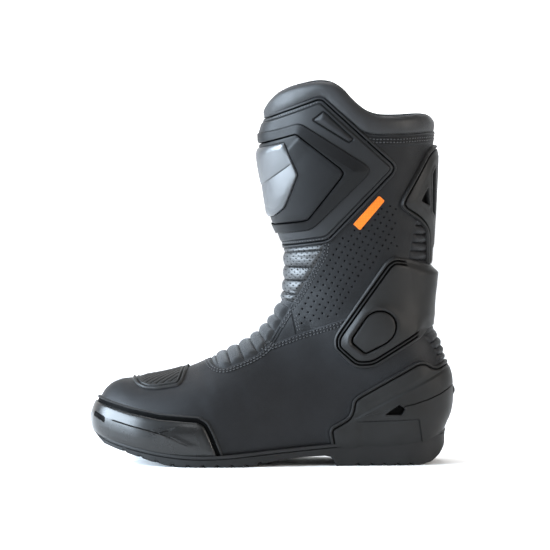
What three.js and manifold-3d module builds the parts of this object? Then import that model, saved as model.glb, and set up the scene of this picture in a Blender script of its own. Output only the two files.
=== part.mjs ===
// Left riding boot with its moulded armour. Millimetres, +Z up, toe towards -X, outer side towards -Y.
// The origin is on the floor, straight below the ankle axis.
import * as THREE from "three";
import { mergeVertices } from "three/addons/utils/BufferGeometryUtils.js";
import Module from "manifold-3d";

const wasm = await Module();
wasm.setup();

// ---- Driving dimensions ----
const GAP = 0.3; // clearance between pieces that touch on the real boot
const LEATHER = 1.4; // thickness of the upper leather, measured inwards from the nominal surface
const STIFFENER = [-3.6, -1.7]; // layer of toe puff, heel stiffener, ankle pads and zip tapes
const LINING = [-5.2, -3.9]; // layer of the textile bootie
const BOARD = 2.0; // insole board thickness
const FOOTBED = 4.5; // removable footbed thickness
const FAR = 90; // half width of any cutter that passes through the whole boot

// Rings of the upper, from the toe tip to above the rim. Each ring is flat and seen edge-on from
// the side: front x, z; back x, z; centre y; half width.
const RINGS = [
  [-230.5, 38, -230.5, 34, 12, 0],
  [-226.5, 50.5, -228, 24, 11, 17],
  [-220, 61, -220.5, 13, 9.5, 28.5],
  [-208.5, 67.5, -208, 6, 7.5, 38.5],
  [-190, 69.5, -190, 1, 4, 46.5],
  [-165, 74.5, -165, -3, 0.5, 51.5],
  [-140, 83, -142, -4, -1.5, 52.5],
  [-118, 92.5, -116, -3, -3, 49.5],
  [-101, 102, -85, 1, -2.5, 45.5],
  [-89.5, 112, -52, 5, -1, 42],
  [-82, 121.5, -18, 7, 0, 40.5],
  [-77.5, 130, 16, 9, 0, 39.5],
  [-75, 138, 45, 18, 0, 39.5],
  [-73.8, 146, 57.5, 42, 0, 40.5],
  [-73.2, 154, 59, 66, 0, 41.5],
  [-72.8, 162, 54.5, 91, 0, 41.5],
  [-73, 171, 47, 113, 0, 41],
  [-74, 181, 43.5, 136, 0, 42],
  [-77.5, 195, 43, 163, 0, 44.5],
  [-82.5, 213, 44.5, 192, 0, 48],
  [-86.5, 232, 46, 218, 0, 51.5],
  [-88.5, 252, 47, 243, 0, 54.5],
  [-89, 272, 47.5, 266, 0, 56.5],
  [-88, 294, 47.5, 290, 0, 57.5],
  [-85, 318, 47, 318, 0, 57.5],
];
// Shape of a ring along the boot: [ring, widest point from -1 at the back to 1 at the front,
// squareness of its front part, squareness of its back part].
const RING_SHAPE = [
  [0, -0.1, 2.1, 2.6],
  [4, -0.4, 2.3, 3.6],
  [8, -0.4, 2.1, 4],
  [11, -0.3, 2.1, 4],
  [13, -0.15, 2.1, 2.5],
  [17, -0.1, 2.1, 2.2],
  [24, -0.05, 2.1, 2.2],
];
const RING_STEP = 1; // rings between two listed ones are this far apart
const RING_POINTS = 24; // points round a ring

// ---- Surface of the upper ----

// Smooth value of column c of the listed rings at ring number s.
function along(s, c) {
  const last = RINGS.length - 1;
  const at = (k) => {
    if (k < 0) return 2 * RINGS[0][c] - RINGS[1][c];
    if (k > last) return 2 * RINGS[last][c] - RINGS[last - 1][c];
    return RINGS[k][c];
  };
  const i = Math.min(Math.floor(s), last - 1);
  const t = s - i;
  const [p, q, r, w] = [at(i - 1), at(i), at(i + 1), at(i + 2)];
  return q + 0.5 * t * (r - p + t * (2 * p - 5 * q + 4 * r - w + t * (3 * (q - r) + w - p)));
}

// Ring shape values at ring number s: [widest, front squareness, back squareness].
function shapeAt(s) {
  let k = 0;
  while (k < RING_SHAPE.length - 2 && s > RING_SHAPE[k + 1][0]) k += 1;
  const [lo, hi] = [RING_SHAPE[k], RING_SHAPE[k + 1]];
  const t = THREE.MathUtils.smoothstep(s, lo[0], hi[0]);
  return [1, 2, 3].map((c) => THREE.MathUtils.lerp(lo[c], hi[c], t));
}

// Point of ring s at position a, from -1 at its back to 1 at its front, on side -1 (outer) or 1.
function ringPoint(s, a, side) {
  const [widest, nFront, nBack] = shapeAt(s);
  const n = a > widest ? nFront : nBack;
  const t = a > widest ? (a - widest) / (1 - widest) : (widest - a) / (widest + 1);
  const y = along(s, 4) + side * along(s, 5) * Math.max(0, 1 - t ** n) ** (1 / n);
  const k = (a + 1) / 2;
  return new THREE.Vector3(
    THREE.MathUtils.lerp(along(s, 2), along(s, 0), k),
    y,
    THREE.MathUtils.lerp(along(s, 3), along(s, 1), k),
  );
}

// Points spaced evenly round ring s, from the front, down the outer side and back up the inner side.
function ringLoop(s, count) {
  const fine = [];
  const half = 60;
  for (let i = 0; i <= half; i += 1) fine.push(ringPoint(s, Math.cos((Math.PI * i) / half), -1));
  for (let i = half - 1; i > 0; i -= 1) fine.push(ringPoint(s, Math.cos((Math.PI * i) / half), 1));
  fine.push(fine[0].clone());
  const run = [0];
  for (let i = 1; i < fine.length; i += 1) run.push(run[i - 1] + fine[i].distanceTo(fine[i - 1]));
  const loop = [];
  let j = 0;
  for (let i = 0; i < count; i += 1) {
    const want = (run[run.length - 1] * i) / count;
    while (run[j + 1] < want) j += 1;
    const t = (want - run[j]) / Math.max(run[j + 1] - run[j], 1e-9);
    loop.push(fine[j].clone().lerp(fine[j + 1], t));
  }
  return loop;
}

// The grid of the upper's surface: loops of points, and the outward normal at each.
function makeGrid(step, count) {
  const loops = [];
  for (let s = step; s <= RINGS.length - 1 + 1e-9; s += step) loops.push(ringLoop(s, count));
  const normals = loops.map((loop, i) =>
    loop.map((_, j) => {
      const before = loops[Math.max(i - 1, 0)][j];
      const after = loops[Math.min(i + 1, loops.length - 1)][j];
      const left = loop[(j + count - 1) % count];
      const right = loop[(j + 1) % count];
      const forward = after.clone().sub(before);
      return forward.cross(right.clone().sub(left)).normalize().negate();
    }),
  );
  return { loops, normals, count };
}

const GRID = makeGrid(RING_STEP, RING_POINTS);

// ---- Solids ----

// A manifold-3d solid from a closed three.js geometry.
function solid(geometry) {
  const bare = geometry.index ? geometry.toNonIndexed() : geometry.clone();
  bare.deleteAttribute("normal");
  bare.deleteAttribute("uv");
  const merged = mergeVertices(bare, 1e-4);
  return new wasm.Manifold(
    new wasm.Mesh({
      numProp: 3,
      vertProperties: merged.attributes.position.array,
      triVerts: new Uint32Array(merged.index.array),
    }),
  );
}

// Everything inside the surface that lies h outside the nominal upper.
function filled(h) {
  const { loops, normals, count } = GRID;
  const positions = [];
  const toe = ringPoint(0, 0, 1).add(new THREE.Vector3(-h, 0, 0));
  positions.push(toe.x, toe.y, toe.z);
  loops.forEach((loop, i) =>
    loop.forEach((p, j) => {
      const q = p.clone().addScaledVector(normals[i][j], h);
      positions.push(q.x, q.y, q.z);
    }),
  );
  const top = ringPoint(RINGS.length - 1, 0, 1).setY(0);
  positions.push(top.x, top.y, top.z);
  const at = (i, j) => 1 + i * count + (j % count);
  const end = positions.length / 3 - 1;
  const index = [];
  for (let j = 0; j < count; j += 1) {
    index.push(0, at(0, j + 1), at(0, j));
    index.push(end, at(loops.length - 1, j), at(loops.length - 1, j + 1));
    for (let i = 0; i < loops.length - 1; i += 1) {
      index.push(at(i, j), at(i, j + 1), at(i + 1, j));
      index.push(at(i, j + 1), at(i + 1, j + 1), at(i + 1, j));
    }
  }
  const geometry = new THREE.BufferGeometry();
  geometry.setAttribute("position", new THREE.Float32BufferAttribute(positions, 3));
  geometry.setIndex(index);
  return solid(geometry);
}

const shells = new Map();

// The layer of the upper between two offsets from its nominal surface.
function layer(inner, outer) {
  const key = `${inner}|${outer}`;
  if (!shells.has(key)) shells.set(key, filled(outer).subtract(filled(inner)));
  return shells.get(key);
}

// ---- Cutters, drawn in the side view as lists of [x, z] ----

// A line moved sideways by d, to its left.
function shifted(points, d) {
  return points.map((p, i) => {
    const a = points[Math.max(i - 1, 0)];
    const b = points[Math.min(i + 1, points.length - 1)];
    const length = Math.hypot(b[0] - a[0], b[1] - a[1]);
    return [p[0] - (d * (b[1] - a[1])) / length, p[1] + (d * (b[0] - a[0])) / length];
  });
}

// A closed outline grown outwards by d, each edge moved and the corners kept sharp.
function grown(points, d) {
  const n = points.length;
  const turn = THREE.ShapeUtils.area(points.map(([x, y]) => ({ x, y }))) > 0 ? d : -d;
  return points.map((p, i) => {
    const [a, b] = [points[(i + n - 1) % n], points[(i + 1) % n]];
    const u = new THREE.Vector2(p[0] - a[0], p[1] - a[1]).normalize();
    const v = new THREE.Vector2(b[0] - p[0], b[1] - p[1]).normalize();
    const out = new THREE.Vector2(u.y + v.y, -u.x - v.x);
    const k = turn / Math.max(0.5, 1 + u.dot(v));
    return [p[0] + out.x * k, p[1] + out.y * k];
  });
}

// The outline swept across the boot: on the outer side (-1), the inner side (1) or both (0).
function prism(points, side = 0) {
  const depth = side === 0 ? 2 * FAR : FAR;
  const shape = new THREE.Shape(points.map(([x, z]) => new THREE.Vector2(x, z)));
  const geometry = new THREE.ExtrudeGeometry(shape, { depth, bevelEnabled: false });
  geometry.rotateX(Math.PI / 2);
  geometry.translate(0, side < 0 ? 0 : FAR, 0);
  return solid(geometry);
}

// An outline on the outer side joined to another on the inner side.
function pair(outer, inner) {
  const overlap = 0.05;
  return prism(outer, -1).translate([0, overlap, 0]).add(prism(inner, 1));
}

// A strip between two points, drawn w wide.
function strip([x0, z0], [x1, z1], w) {
  const length = Math.hypot(x1 - x0, z1 - z0);
  const [nx, nz] = [(-(z1 - z0) / length) * (w / 2), ((x1 - x0) / length) * (w / 2)];
  return [
    [x0 - nx, z0 - nz],
    [x1 - nx, z1 - nz],
    [x1 + nx, z1 + nz],
    [x0 + nx, z0 + nz],
  ];
}

// A circle as an outline.
function disc(x, z, r, count) {
  return Array.from({ length: count }, (_, i) => {
    const a = (2 * Math.PI * i) / count;
    return [x + r * Math.cos(a), z + r * Math.sin(a)];
  });
}

// A panel of the leather with raised pleats.
function ribbed(base, area, ribs, height) {
  let made = base.intersect(area);
  const raised = layer(-0.1, height).intersect(area);
  for (const rib of ribs) {
    made = made.add(raised.intersect(prism(rib)));
  }
  return made;
}

// A smooth line through the listed points.
function curve(points, divisions) {
  const spline = new THREE.SplineCurve(points.map(([x, z]) => new THREE.Vector2(x, z)));
  return spline.getPoints(divisions).map((p) => [p.x, p.y]);
}

const rectangle = (x0, z0, x1, z1) => [
  [x0, z0],
  [x1, z0],
  [x1, z1],
  [x0, z1],
];

// ---- Lines of the design ----

// Top edge of the outsole, from the toe to the heel.
const SOLE_TOP = curve(
  [
    [-262, 38],
    [-231, 27],
    [-210, 19],
    [-170, 11],
    [-130, 9.5],
    [-80, 14],
    [-35, 18],
    [15, 22.5],
    [60, 28.5],
    [90, 33],
  ],
  26,
);
// Tread line of the outsole: toe spring, ball, waist, and heel with a square breast.
const SOLE_BOTTOM = [
  [-262, 36],
  [-231.5, 25.3],
  [-222, 16.5],
  [-200, 9.5],
  [-182, 4.2],
  [-169, 1.2],
  [-158, 0],
  [-106, 0],
  [-92, 2.6],
  [-76, 5.6],
  [-58, 7.6],
  [-41, 8.4],
  [-36, 7.4],
  [-33.5, 4],
  [-32, 0],
  [36, 0],
  [45, 2.4],
  [50, 8],
  [53.5, 18],
  [57.5, 26.5],
  [90, 31],
];
// Outline of the outsole from above, as [x, y].
const SOLE_PLAN = [
  [57.5, 0],
  [54, -17],
  [44, -29],
  [27, -35.5],
  [0, -38.5],
  [-30, -41],
  [-58, -44.5],
  [-88, -50.5],
  [-115, -55.5],
  [-140, -57],
  [-165, -53.5],
  [-190, -45],
  [-208, -34],
  [-221, -20],
  [-229, -4],
  [-231.5, 12],
  [-229, 28],
  [-221, 40.5],
  [-208, 48.5],
  [-190, 53],
  [-165, 54.5],
  [-140, 53],
  [-115, 48],
  [-88, 43.5],
  [-58, 41],
  [-30, 40],
  [0, 38.5],
  [27, 35.5],
  [44, 29],
  [54, 17],
];
// Height of the rim round the leg opening, from the shin to the calf.
const RIM = [
  [-110, 290],
  [-88, 297],
  [-70, 306],
  [-56, 311.5],
  [-45, 313.5],
  [-35, 312],
  [-27, 307],
  [-20, 299.5],
  [-12, 292],
  [-4, 286.5],
  [6, 284],
  [22, 284],
  [38, 285.5],
  [90, 286],
];
// Seam below the padded collar.
const COLLAR_SEAM = [
  [-110, 276],
  [-92, 283],
  [-45, 300.5],
  [-12, 273],
  [0, 270.5],
  [20, 270.5],
  [70, 273.5],
];
// Top seam of the vamp, from the bellows to the back, hidden under the ankle shell from x = -30.
const VAMP_SEAM = [
  [-88.5, 96.5],
  [-64, 104.5],
  [-27, 117],
  [30, 131],
];
// Side edge of the instep bellows, from its toe end up to the seam with the shin panel.
const BELLOWS_EDGE = [
  [-136, 92],
  [-134.5, 84],
  [-130, 79.5],
  [-122, 78.5],
  [-112, 82.5],
  [-98, 89],
  [-88.5, 96.5],
  [-79, 112],
  [-68, 130],
  [-66, 134],
];
const SHIN_EDGE = [
  [-66, 134],
  [-57, 149],
  [-43, 174],
  [-41.5, 186],
];
// Where the vamp ends and the heel quarters begin, hidden under the ankle shell at its top.
const VAMP_SPLIT = [
  [-24, 140],
  [-22, 80],
  [-15, 60],
  [-15, 0],
];
// Soft panels: above the heel, and behind the calf.
const ACHILLES_AREA = [
  [36, 107.5],
  [43, 101],
  [49, 93],
  [51.5, 83],
  [90, 83],
  [90, 120],
  [44, 116],
];
const CALF_AREA = [
  [26, 158],
  [26.5, 170],
  [33, 202],
  [90, 202],
  [90, 158],
];
// Hidden stiffeners: toe puff and heel.
const PUFF_AREA = [
  [-260, 0],
  [-186, 0],
  [-186, 100],
  [-260, 100],
];
const STIFFENER_AREA = [
  [-22, 0],
  [-24, 44],
  [0, 66],
  [36, 80],
  [90, 80],
  [90, 0],
];
const HEEL_COUNTER = [
  [-34, 5],
  [-38, 28],
  [-36, 32],
  [-20, 40.5],
  [-17.5, 54],
  [-14, 57.5],
  [33, 85],
  [39, 85],
  [47, 80],
  [54, 83],
  [75, 92],
  [75, 5],
];
const SLIDER_OUTER = [
  [-250, 56],
  [-228, 49],
  [-200, 39.5],
  [-175, 34.5],
  [-146, 32.5],
  [-141.5, 30],
  [-138, 24],
  [-130.5, 5],
  [-250, 5],
];
const SLIDER_INNER = [
  [-250, 56],
  [-228, 49],
  [-221, 44],
  [-214, 34],
  [-210, 5],
  [-250, 5],
];
const SHIFT_PAD_OUTER = [
  [-199, 90],
  [-199, 68],
  [-195, 64],
  [-188, 61.5],
  [-178, 61.5],
  [-161, 64.5],
  [-157, 68],
  [-149, 90],
];
const SHIFT_PAD_INNER = [
  [-199, 90],
  [-199, 62],
  [-195, 54],
  [-188, 50],
  [-178, 50],
  [-161, 54.5],
  [-157, 59],
  [-149, 90],
];
// Shin guard: outer edge of the base, of the frame and of the opening for the insert.
const GUARD_OUTER = [
  [-110, 277],
  [-92, 283.5],
  [-47, 301],
  [-42, 300.5],
  [14, 248.5],
  [16.5, 244],
  [14.5, 238],
  [-36, 183.5],
  [-41, 181.5],
  [-80, 175.5],
  [-110, 171],
];
const GUARD_INNER = [
  [-110, 277],
  [-92, 283.5],
  [-62, 293],
  [-55, 291],
  [-39, 250],
  [-38, 244],
  [-40, 238],
  [-54, 187],
  [-59, 183],
  [-80, 175.5],
  [-110, 171],
];
const FRAME_OUTER = [
  [-110, 263],
  [-97, 268],
  [-62, 279],
  [-58, 278],
  [-9, 246.5],
  [-5.5, 242],
  [-7, 238],
  [-49, 195],
  [-54, 192.5],
  [-83, 188.5],
  [-110, 186],
];
const FRAME_INNER = [
  [-110, 263],
  [-97, 268],
  [-70, 275],
  [-66, 273],
  [-52, 246],
  [-50, 242],
  [-52, 237],
  [-63, 196],
  [-67, 193],
  [-83, 188.5],
  [-110, 186],
];
const INSERT_OUTER = [
  [-110, 255],
  [-94, 260.5],
  [-62, 271],
  [-28, 243.5],
  [-25.5, 239.5],
  [-28, 235],
  [-52.5, 201.5],
  [-56, 200.5],
  [-83, 196.5],
  [-110, 193],
];
const INSERT_INNER = [
  [-110, 255],
  [-94, 260.5],
  [-76, 266],
  [-63, 244],
  [-62, 240],
  [-63, 235],
  [-70, 204],
  [-73, 200.5],
  [-83, 196.5],
  [-110, 193],
];
const FACET = [
  [-110, 251],
  [-94, 257],
  [-71, 263],
  [-61, 240],
  [-70, 212],
  [-77, 203.5],
  [-110, 199],
];
const CALF_GUARD_OUTER = [
  [64, 268],
  [48, 261.5],
  [41, 255.5],
  [21, 219],
  [19, 213.5],
  [21.5, 209],
  [34, 200],
  [40, 192],
  [43, 181],
  [44, 163.5],
  [64, 163.5],
];
const CALF_GUARD_INNER = [
  [64, 268],
  [48, 261.5],
  [45, 255.5],
  [34, 219],
  [33, 213.5],
  [34, 209],
  [38, 200],
  [41, 192],
  [43, 181],
  [44, 163.5],
  [64, 163.5],
];
const ANKLE_SHELL_OUTER = [
  [64, 155],
  [45.5, 162.5],
  [27, 169],
  [14, 171],
  [8, 166],
  [-31, 109],
  [-33, 104],
  [-33, 95],
  [-16, 79.5],
  [-1, 80.5],
  [37, 104.5],
  [43, 111.5],
  [64, 120],
];
const ANKLE_SHELL_INNER = [
  [64, 155],
  [45.5, 162.5],
  [30, 166],
  [24, 160],
  [20, 140],
  [24, 118],
  [37, 106],
  [43, 111.5],
  [64, 120],
];
const ANKLE_CAP = [
  [-18, 104],
  [-18, 101],
  [-8, 92.5],
  [9, 101.5],
  [14, 107],
  [15.5, 114],
  [13, 121],
  [7, 125.5],
  [0, 126],
  [-6, 123],
];
const LABEL = [
  [2, 220.5],
  [6.5, 216.5],
  [-13, 192.5],
  [-18.5, 197.5],
];
// Side zip on the inner side, in its own direction from the top stop down.
const ZIP_TOP = [6, 236];
const ZIP_BOTTOM = [2, 140];
const ZIP_SLOT = 3.3; // half width of the slot between the leather edges
const ZIP_CHAIN = 2.4; // half width of the closed teeth
const ZIP_TAPE = 12; // half width of both tapes together
const SLIDER_REST = 7; // distance of the slider's centre below the top stop
const TAB = { left: -27, hinge: -17, right: 28, bottom: 243, top: 268 };
const ZIP_LENGTH = ZIP_TOP[1] - ZIP_BOTTOM[1];
const STOP = 5; // length of a zip stop
const PAD_RADIUS = 24; // ankle pads
const PAD_CENTRE = [0, 100];
const DISC_CENTRE = [0, 103];
const DISC_RADIUS = 21;
const HOOK_FROM = 11;
const HOOK_TO = 26;
const CALF_WINDOW = [
  [36, 217],
  [42.5, 213],
  [43, 228],
];
// Raised pleats: on the instep from the top of the foot [x, z] towards its side edge.
const INSTEP_RIBS = [
  [[-121, 100], [-112, 70]],
  [[-110, 108], [-100, 76]],
  [[-100, 116], [-86, 86]],
  [[-92, 124], [-72, 98]],
  [[-84, 132], [-62, 116]],
];
const ACHILLES_RIBS = [86, 92, 98];
const SHIN_RIBS = [141, 152, 163];
const CALF_RIBS = [162, 171, 180, 189];
const RIB_WIDTH = 4;
const RIB_HEIGHT = 1.8;
// Tread grooves by x, at the ball and at the heel; those of the toe spring start higher.
const GROOVES = [-212, -200, -188, -176, -164, -152, -140, -128, -116, -104, -22, -11, 11, 22];
const SPRING_FROM = -165;
const SPRING_SLOPE = 0.09;
const GROOVE_WIDTH = 3;
const GROOVE_DEPTH = 1.6;
const GROOVE_TURN = 0.2; // radians from square across
const SHANK = { x: -45, length: 104, width: 18, thickness: 1 };
// Outer heights of the mouldings above the leather.
const COLLAR_BULGE = 1.2;
const COUNTER = 5.5;
const SLIDER = 3.4;
const GASKET = 2;
const SHIFT_PAD = 2.2;
const GUARD = 3;
const FRAME = 7.6;
const INSERT = 6;
const FACET_TOP = 9;
const CALF_GUARD = 5;
const ANKLE_SHELL = 5.2;
const ANKLE_CAP_TOP = 7.8;
const DISC_TOP = 3.2;
const LABEL_TOP = 1.2;
const CALF_BELLOWS_TOP = GAP + RIB_HEIGHT / 3;
// Heights of the zip and the flap.
const CHAIN_TOP = 0.5;
const STOP_TOP = 1;
const SLIDER_LENGTH = 10;
const SLIDER_LOW = 1.3;
const SLIDER_TOP = 3.2;
const PULL_PIVOT = 4.9;
const PULL_HALF = 0.6;
const PULL_WIDTH = 5;
const PULL_LENGTH = 16;
const EYE_RADIUS = 1.6;
const BAR_RADIUS = 0.7;
const EAR_IN = 1.9;
const EAR_OUT = 3.1;
const HOOK_LOW = 1.6;
const FLAP_LOW = 2.9;
const FLAP_TOP = 4.5;
const SIDES = [[-1, "lateral"], [1, "medial"]];

// ---- Regions ----

const slab = (lo, hi) => {
  const edge = (d) => SOLE_TOP.map(([x, z]) => [x, z + d]);
  return prism([...edge(lo), ...edge(hi).reverse()]);
};
const aboveSole = (d) => slab(d, 400);
const belowRim = prism([...RIM, [90, -20], [-260, -20], [-260, 290]]);
const aboveCollarSeam = (d) => [...shifted(COLLAR_SEAM, d), [70, 400], [-110, 400]];
const belowCollarSeam = (d) => [...shifted(COLLAR_SEAM, -d), [70, 0], [-110, 0]];
const zipStrip = (half, lo, hi) => {
  const [x0, z0] = ZIP_TOP;
  const [x1, z1] = ZIP_BOTTOM;
  const x = (z) => x0 + ((x1 - x0) * (z - z0)) / (z1 - z0);
  return [
    [x(lo) - half, lo],
    [x(lo) + half, lo],
    [x(hi) + half, hi],
    [x(hi) - half, hi],
  ];
};

// ---- Materials ----

const material = (color, roughness, metalness = 0) =>
  new THREE.MeshStandardMaterial({ color, roughness, metalness });
const leather = material(0x26272a, 0.55);
const perforated = material(0x232427, 0.6);
const suede = material(0x3a3b3e, 0.9);
const rubber = material(0x1d1d1f, 0.8);
const moulded = material(0x2a2a2a, 0.6);
const gloss = material(0x1b1c1f, 0.25);
const textile = material(0x2b2b2d, 0.95);
const orange = material(0xf58220, 0.8);
const metal = material(0x55565a, 0.35, 0.9);
const foam = material(0x46484c, 0.95);

// ---- Assembly ----

const boot = new THREE.Group();

function addPiece(name, made, look) {
  const { vertProperties, triVerts } = made.getMesh();
  const geometry = new THREE.BufferGeometry();
  geometry.setAttribute("position", new THREE.BufferAttribute(vertProperties, 3));
  geometry.setIndex(new THREE.BufferAttribute(triVerts, 1));
  const mesh = new THREE.Mesh(geometry, look);
  mesh.name = name;
  boot.add(mesh);
}

// ---- Foot: sole and what lies on it ----

function makeOutsole() {
  const plan = curve([...SOLE_PLAN, SOLE_PLAN[0]], 72).slice(1);
  const shape = new THREE.Shape(plan.map(([x, y]) => new THREE.Vector2(x, y)));
  const geometry = new THREE.ExtrudeGeometry(shape, { depth: 60, bevelEnabled: false });
  geometry.translate(0, 0, -5);
  const profile = prism([...SOLE_BOTTOM, ...[...SOLE_TOP].reverse()]);
  let sole = solid(geometry).intersect(profile);
  for (const x of GROOVES) {
    const groove = new THREE.BoxGeometry(GROOVE_WIDTH, 2 * FAR, 2 * GROOVE_DEPTH);
    groove.rotateZ(GROOVE_TURN);
    groove.translate(x, 0, SPRING_SLOPE * Math.max(0, SPRING_FROM - x));
    sole = sole.subtract(solid(groove));
  }
  return sole;
}

const inside = filled(LINING[0] - GAP);
const shankSlot = (d) => {
  const box = new THREE.BoxGeometry(SHANK.length + 2 * d, SHANK.width + 2 * d, 80);
  box.translate(SHANK.x, 0, 20);
  return solid(box);
};
const boardTop = GAP + BOARD;
const shankTop = GAP + SHANK.thickness;
const board = inside
  .intersect(slab(GAP, boardTop))
  .subtract(slab(-1, shankTop + GAP).intersect(shankSlot(GAP)));
addPiece("outsole", makeOutsole(), rubber);
addPiece("insole_board", board, textile);
addPiece("shank", inside.intersect(slab(GAP, shankTop)).intersect(shankSlot(0)), metal);
const footbedFrom = boardTop + GAP;
addPiece("footbed", inside.intersect(slab(footbedFrom, footbedFrom + FOOTBED)), foam);

// ---- Layers of the upper ----

const onSole = aboveSole(GAP);
const leatherLayer = layer(-LEATHER, 0).intersect(onSole);
const stiffLayer = layer(...STIFFENER).intersect(onSole);

addPiece("toe_puff", stiffLayer.intersect(prism(PUFF_AREA)), textile);
addPiece("heel_stiffener", stiffLayer.intersect(prism(STIFFENER_AREA)), textile);

const bellowsArea = prism([...BELLOWS_EDGE, [-66, 134], [-110, 134], [-136, 110]]);
const bellowsCut = prism([...grown([...BELLOWS_EDGE, [-110, 134], [-136, 110]], GAP)]);
const underVamp = prism([[-136, 110], ...VAMP_SEAM, [90, 131], [90, 0], [-260, 0], [-260, 110]]);
const vampCut = prism([[-136, 110], ...shifted(VAMP_SEAM, GAP), [90, 131.3], [90, 0], [-260, 0]]);
const beforeSplit = prism([...shifted(VAMP_SPLIT, -GAP), [-260, 0], [-260, 140]]);
const behindSplit = (side) => prism([...VAMP_SPLIT, [90, 0], [90, 140]], side);
const achilles = prism(ACHILLES_AREA);
const achillesCut = prism(grown(ACHILLES_AREA, GAP));
// Everything on one side of the boot's middle plane.
const middle = (side) => {
  const half = new THREE.BoxGeometry(4 * FAR, FAR, 8 * FAR);
  half.translate(0, side * (FAR / 2 + GAP / 2), 0);
  return solid(half);
};

addPiece(
  "vamp",
  leatherLayer.intersect(underVamp).intersect(beforeSplit).subtract(bellowsCut),
  leather,
);
const quarterFoot = leatherLayer.intersect(underVamp).subtract(achillesCut);
for (const [side, name] of SIDES) {
  const piece = quarterFoot.intersect(behindSplit(side)).intersect(middle(side));
  addPiece(`heel_quarter_${name}`, piece, leather);
}

const instepRibs = INSTEP_RIBS.map(([top, foot]) => strip(foot, top, RIB_WIDTH));
addPiece("instep_bellows", ribbed(leatherLayer, bellowsArea, instepRibs, RIB_HEIGHT), suede);
const achillesRibs = ACHILLES_RIBS.map((z) => rectangle(30, z, 90, z + RIB_WIDTH));
addPiece("achilles_bellows", ribbed(leatherLayer, achilles, achillesRibs, RIB_HEIGHT), suede);

addPiece("heel_counter", layer(GAP, COUNTER).intersect(onSole).intersect(prism(HEEL_COUNTER)), moulded);
const sliderArea = pair(SLIDER_OUTER, SLIDER_INNER);
const gasketArea = pair(grown(SLIDER_OUTER, 4), grown(SLIDER_INNER, 4));
const sliderGap = pair(grown(SLIDER_OUTER, GAP), grown(SLIDER_INNER, GAP));
addPiece("toe_slider", layer(GAP, SLIDER).intersect(onSole).intersect(sliderArea), gloss);
addPiece(
  "toe_slider_gasket",
  layer(GAP, GASKET).intersect(onSole).intersect(gasketArea).subtract(sliderGap),
  gloss,
);
const padArea = pair(SHIFT_PAD_OUTER, SHIFT_PAD_INNER);
addPiece("shift_pad", layer(GAP, SHIFT_PAD).intersect(padArea), moulded);

// ---- Shaft ----

const shaftLeather = leatherLayer.subtract(vampCut).intersect(prism(belowCollarSeam(GAP)));
const shinArea = [[-110, 134.3], [-66.3, 134.3], ...SHIN_EDGE.slice(1), [-42, 190], [-110, 190]];
const strap = (half, lo, hi, side = 1) => prism(zipStrip(half, lo, hi), side);
const zipOpening = strap(ZIP_SLOT, ZIP_BOTTOM[1] - 4, ZIP_TOP[1] + 4);
const shaftPanels = shaftLeather
  .subtract(bellowsCut)
  .subtract(prism(grown(shinArea, GAP)))
  .subtract(prism(grown(CALF_AREA, GAP)))
  .subtract(achillesCut);
addPiece("quarter_lateral", shaftPanels.intersect(middle(-1)), perforated);
addPiece("quarter_medial", shaftPanels.intersect(middle(1)).subtract(zipOpening), leather);
const shinRibs = SHIN_RIBS.map((z) => rectangle(-110, z, -30, z + RIB_WIDTH));
addPiece("shin_flex_panel", ribbed(leatherLayer, prism(shinArea), shinRibs, RIB_HEIGHT / 2), perforated);
const calfRibs = CALF_RIBS.map((z) => rectangle(20, z, 90, z + RIB_WIDTH));
addPiece("calf_bellows", ribbed(leatherLayer, prism(CALF_AREA), calfRibs, RIB_HEIGHT / 3), suede);
const collar = layer(STIFFENER[0], COLLAR_BULGE).intersect(prism(aboveCollarSeam(0)));
const guardGap = pair(grown(GUARD_OUTER, GAP), grown(GUARD_INNER, GAP));
addPiece("collar", collar.intersect(belowRim).subtract(guardGap), leather);

addPiece("shin_guard_base", layer(GAP, GUARD).intersect(pair(GUARD_OUTER, GUARD_INNER)), moulded);
const insertGap = pair(grown(INSERT_OUTER, GAP), grown(INSERT_INNER, GAP));
const frameArea = pair(FRAME_OUTER, FRAME_INNER).subtract(insertGap);
addPiece("shin_guard_frame", layer(GUARD + GAP, FRAME).intersect(frameArea), moulded);
const insertArea = pair(INSERT_OUTER, INSERT_INNER);
addPiece("shin_guard_insert", layer(GUARD + GAP, INSERT).intersect(insertArea), gloss);
const facetArea = pair(grown(INSERT_OUTER, -1), grown(INSERT_INNER, -1)).intersect(prism(FACET));
addPiece("shin_guard_facet", layer(INSERT + GAP, FACET_TOP).intersect(facetArea), gloss);

const calfWindows = prism(CALF_WINDOW);
const calfGuardArea = pair(CALF_GUARD_OUTER, CALF_GUARD_INNER).subtract(calfWindows);
addPiece("calf_guard", layer(CALF_BELLOWS_TOP, CALF_GUARD).intersect(calfGuardArea), moulded);
const shellArea = pair(ANKLE_SHELL_OUTER, ANKLE_SHELL_INNER);
addPiece("ankle_shell", layer(CALF_BELLOWS_TOP, ANKLE_SHELL).intersect(shellArea), moulded);
addPiece("ankle_cap", layer(ANKLE_SHELL + GAP, ANKLE_CAP_TOP).intersect(prism(ANKLE_CAP, -1)), moulded);

const medialDisc = prism(disc(...DISC_CENTRE, DISC_RADIUS, 24), 1);
addPiece("medial_ankle_disc", layer(GAP, DISC_TOP).intersect(medialDisc), moulded);
for (const [side, name] of SIDES) {
  const padRegion = prism(disc(...PAD_CENTRE, PAD_RADIUS, 20), side);
  addPiece(`ankle_pad_${name}`, layer(...STIFFENER).intersect(padRegion), foam);
}
const label = layer(GAP, LABEL_TOP).intersect(prism(LABEL, -1));
addPiece("label_tag", label, orange);
const liningArea = belowRim.intersect(onSole);
addPiece("lining", layer(...LINING).intersect(liningArea), textile);

// ---- Zip, on the inner side ----

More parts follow.
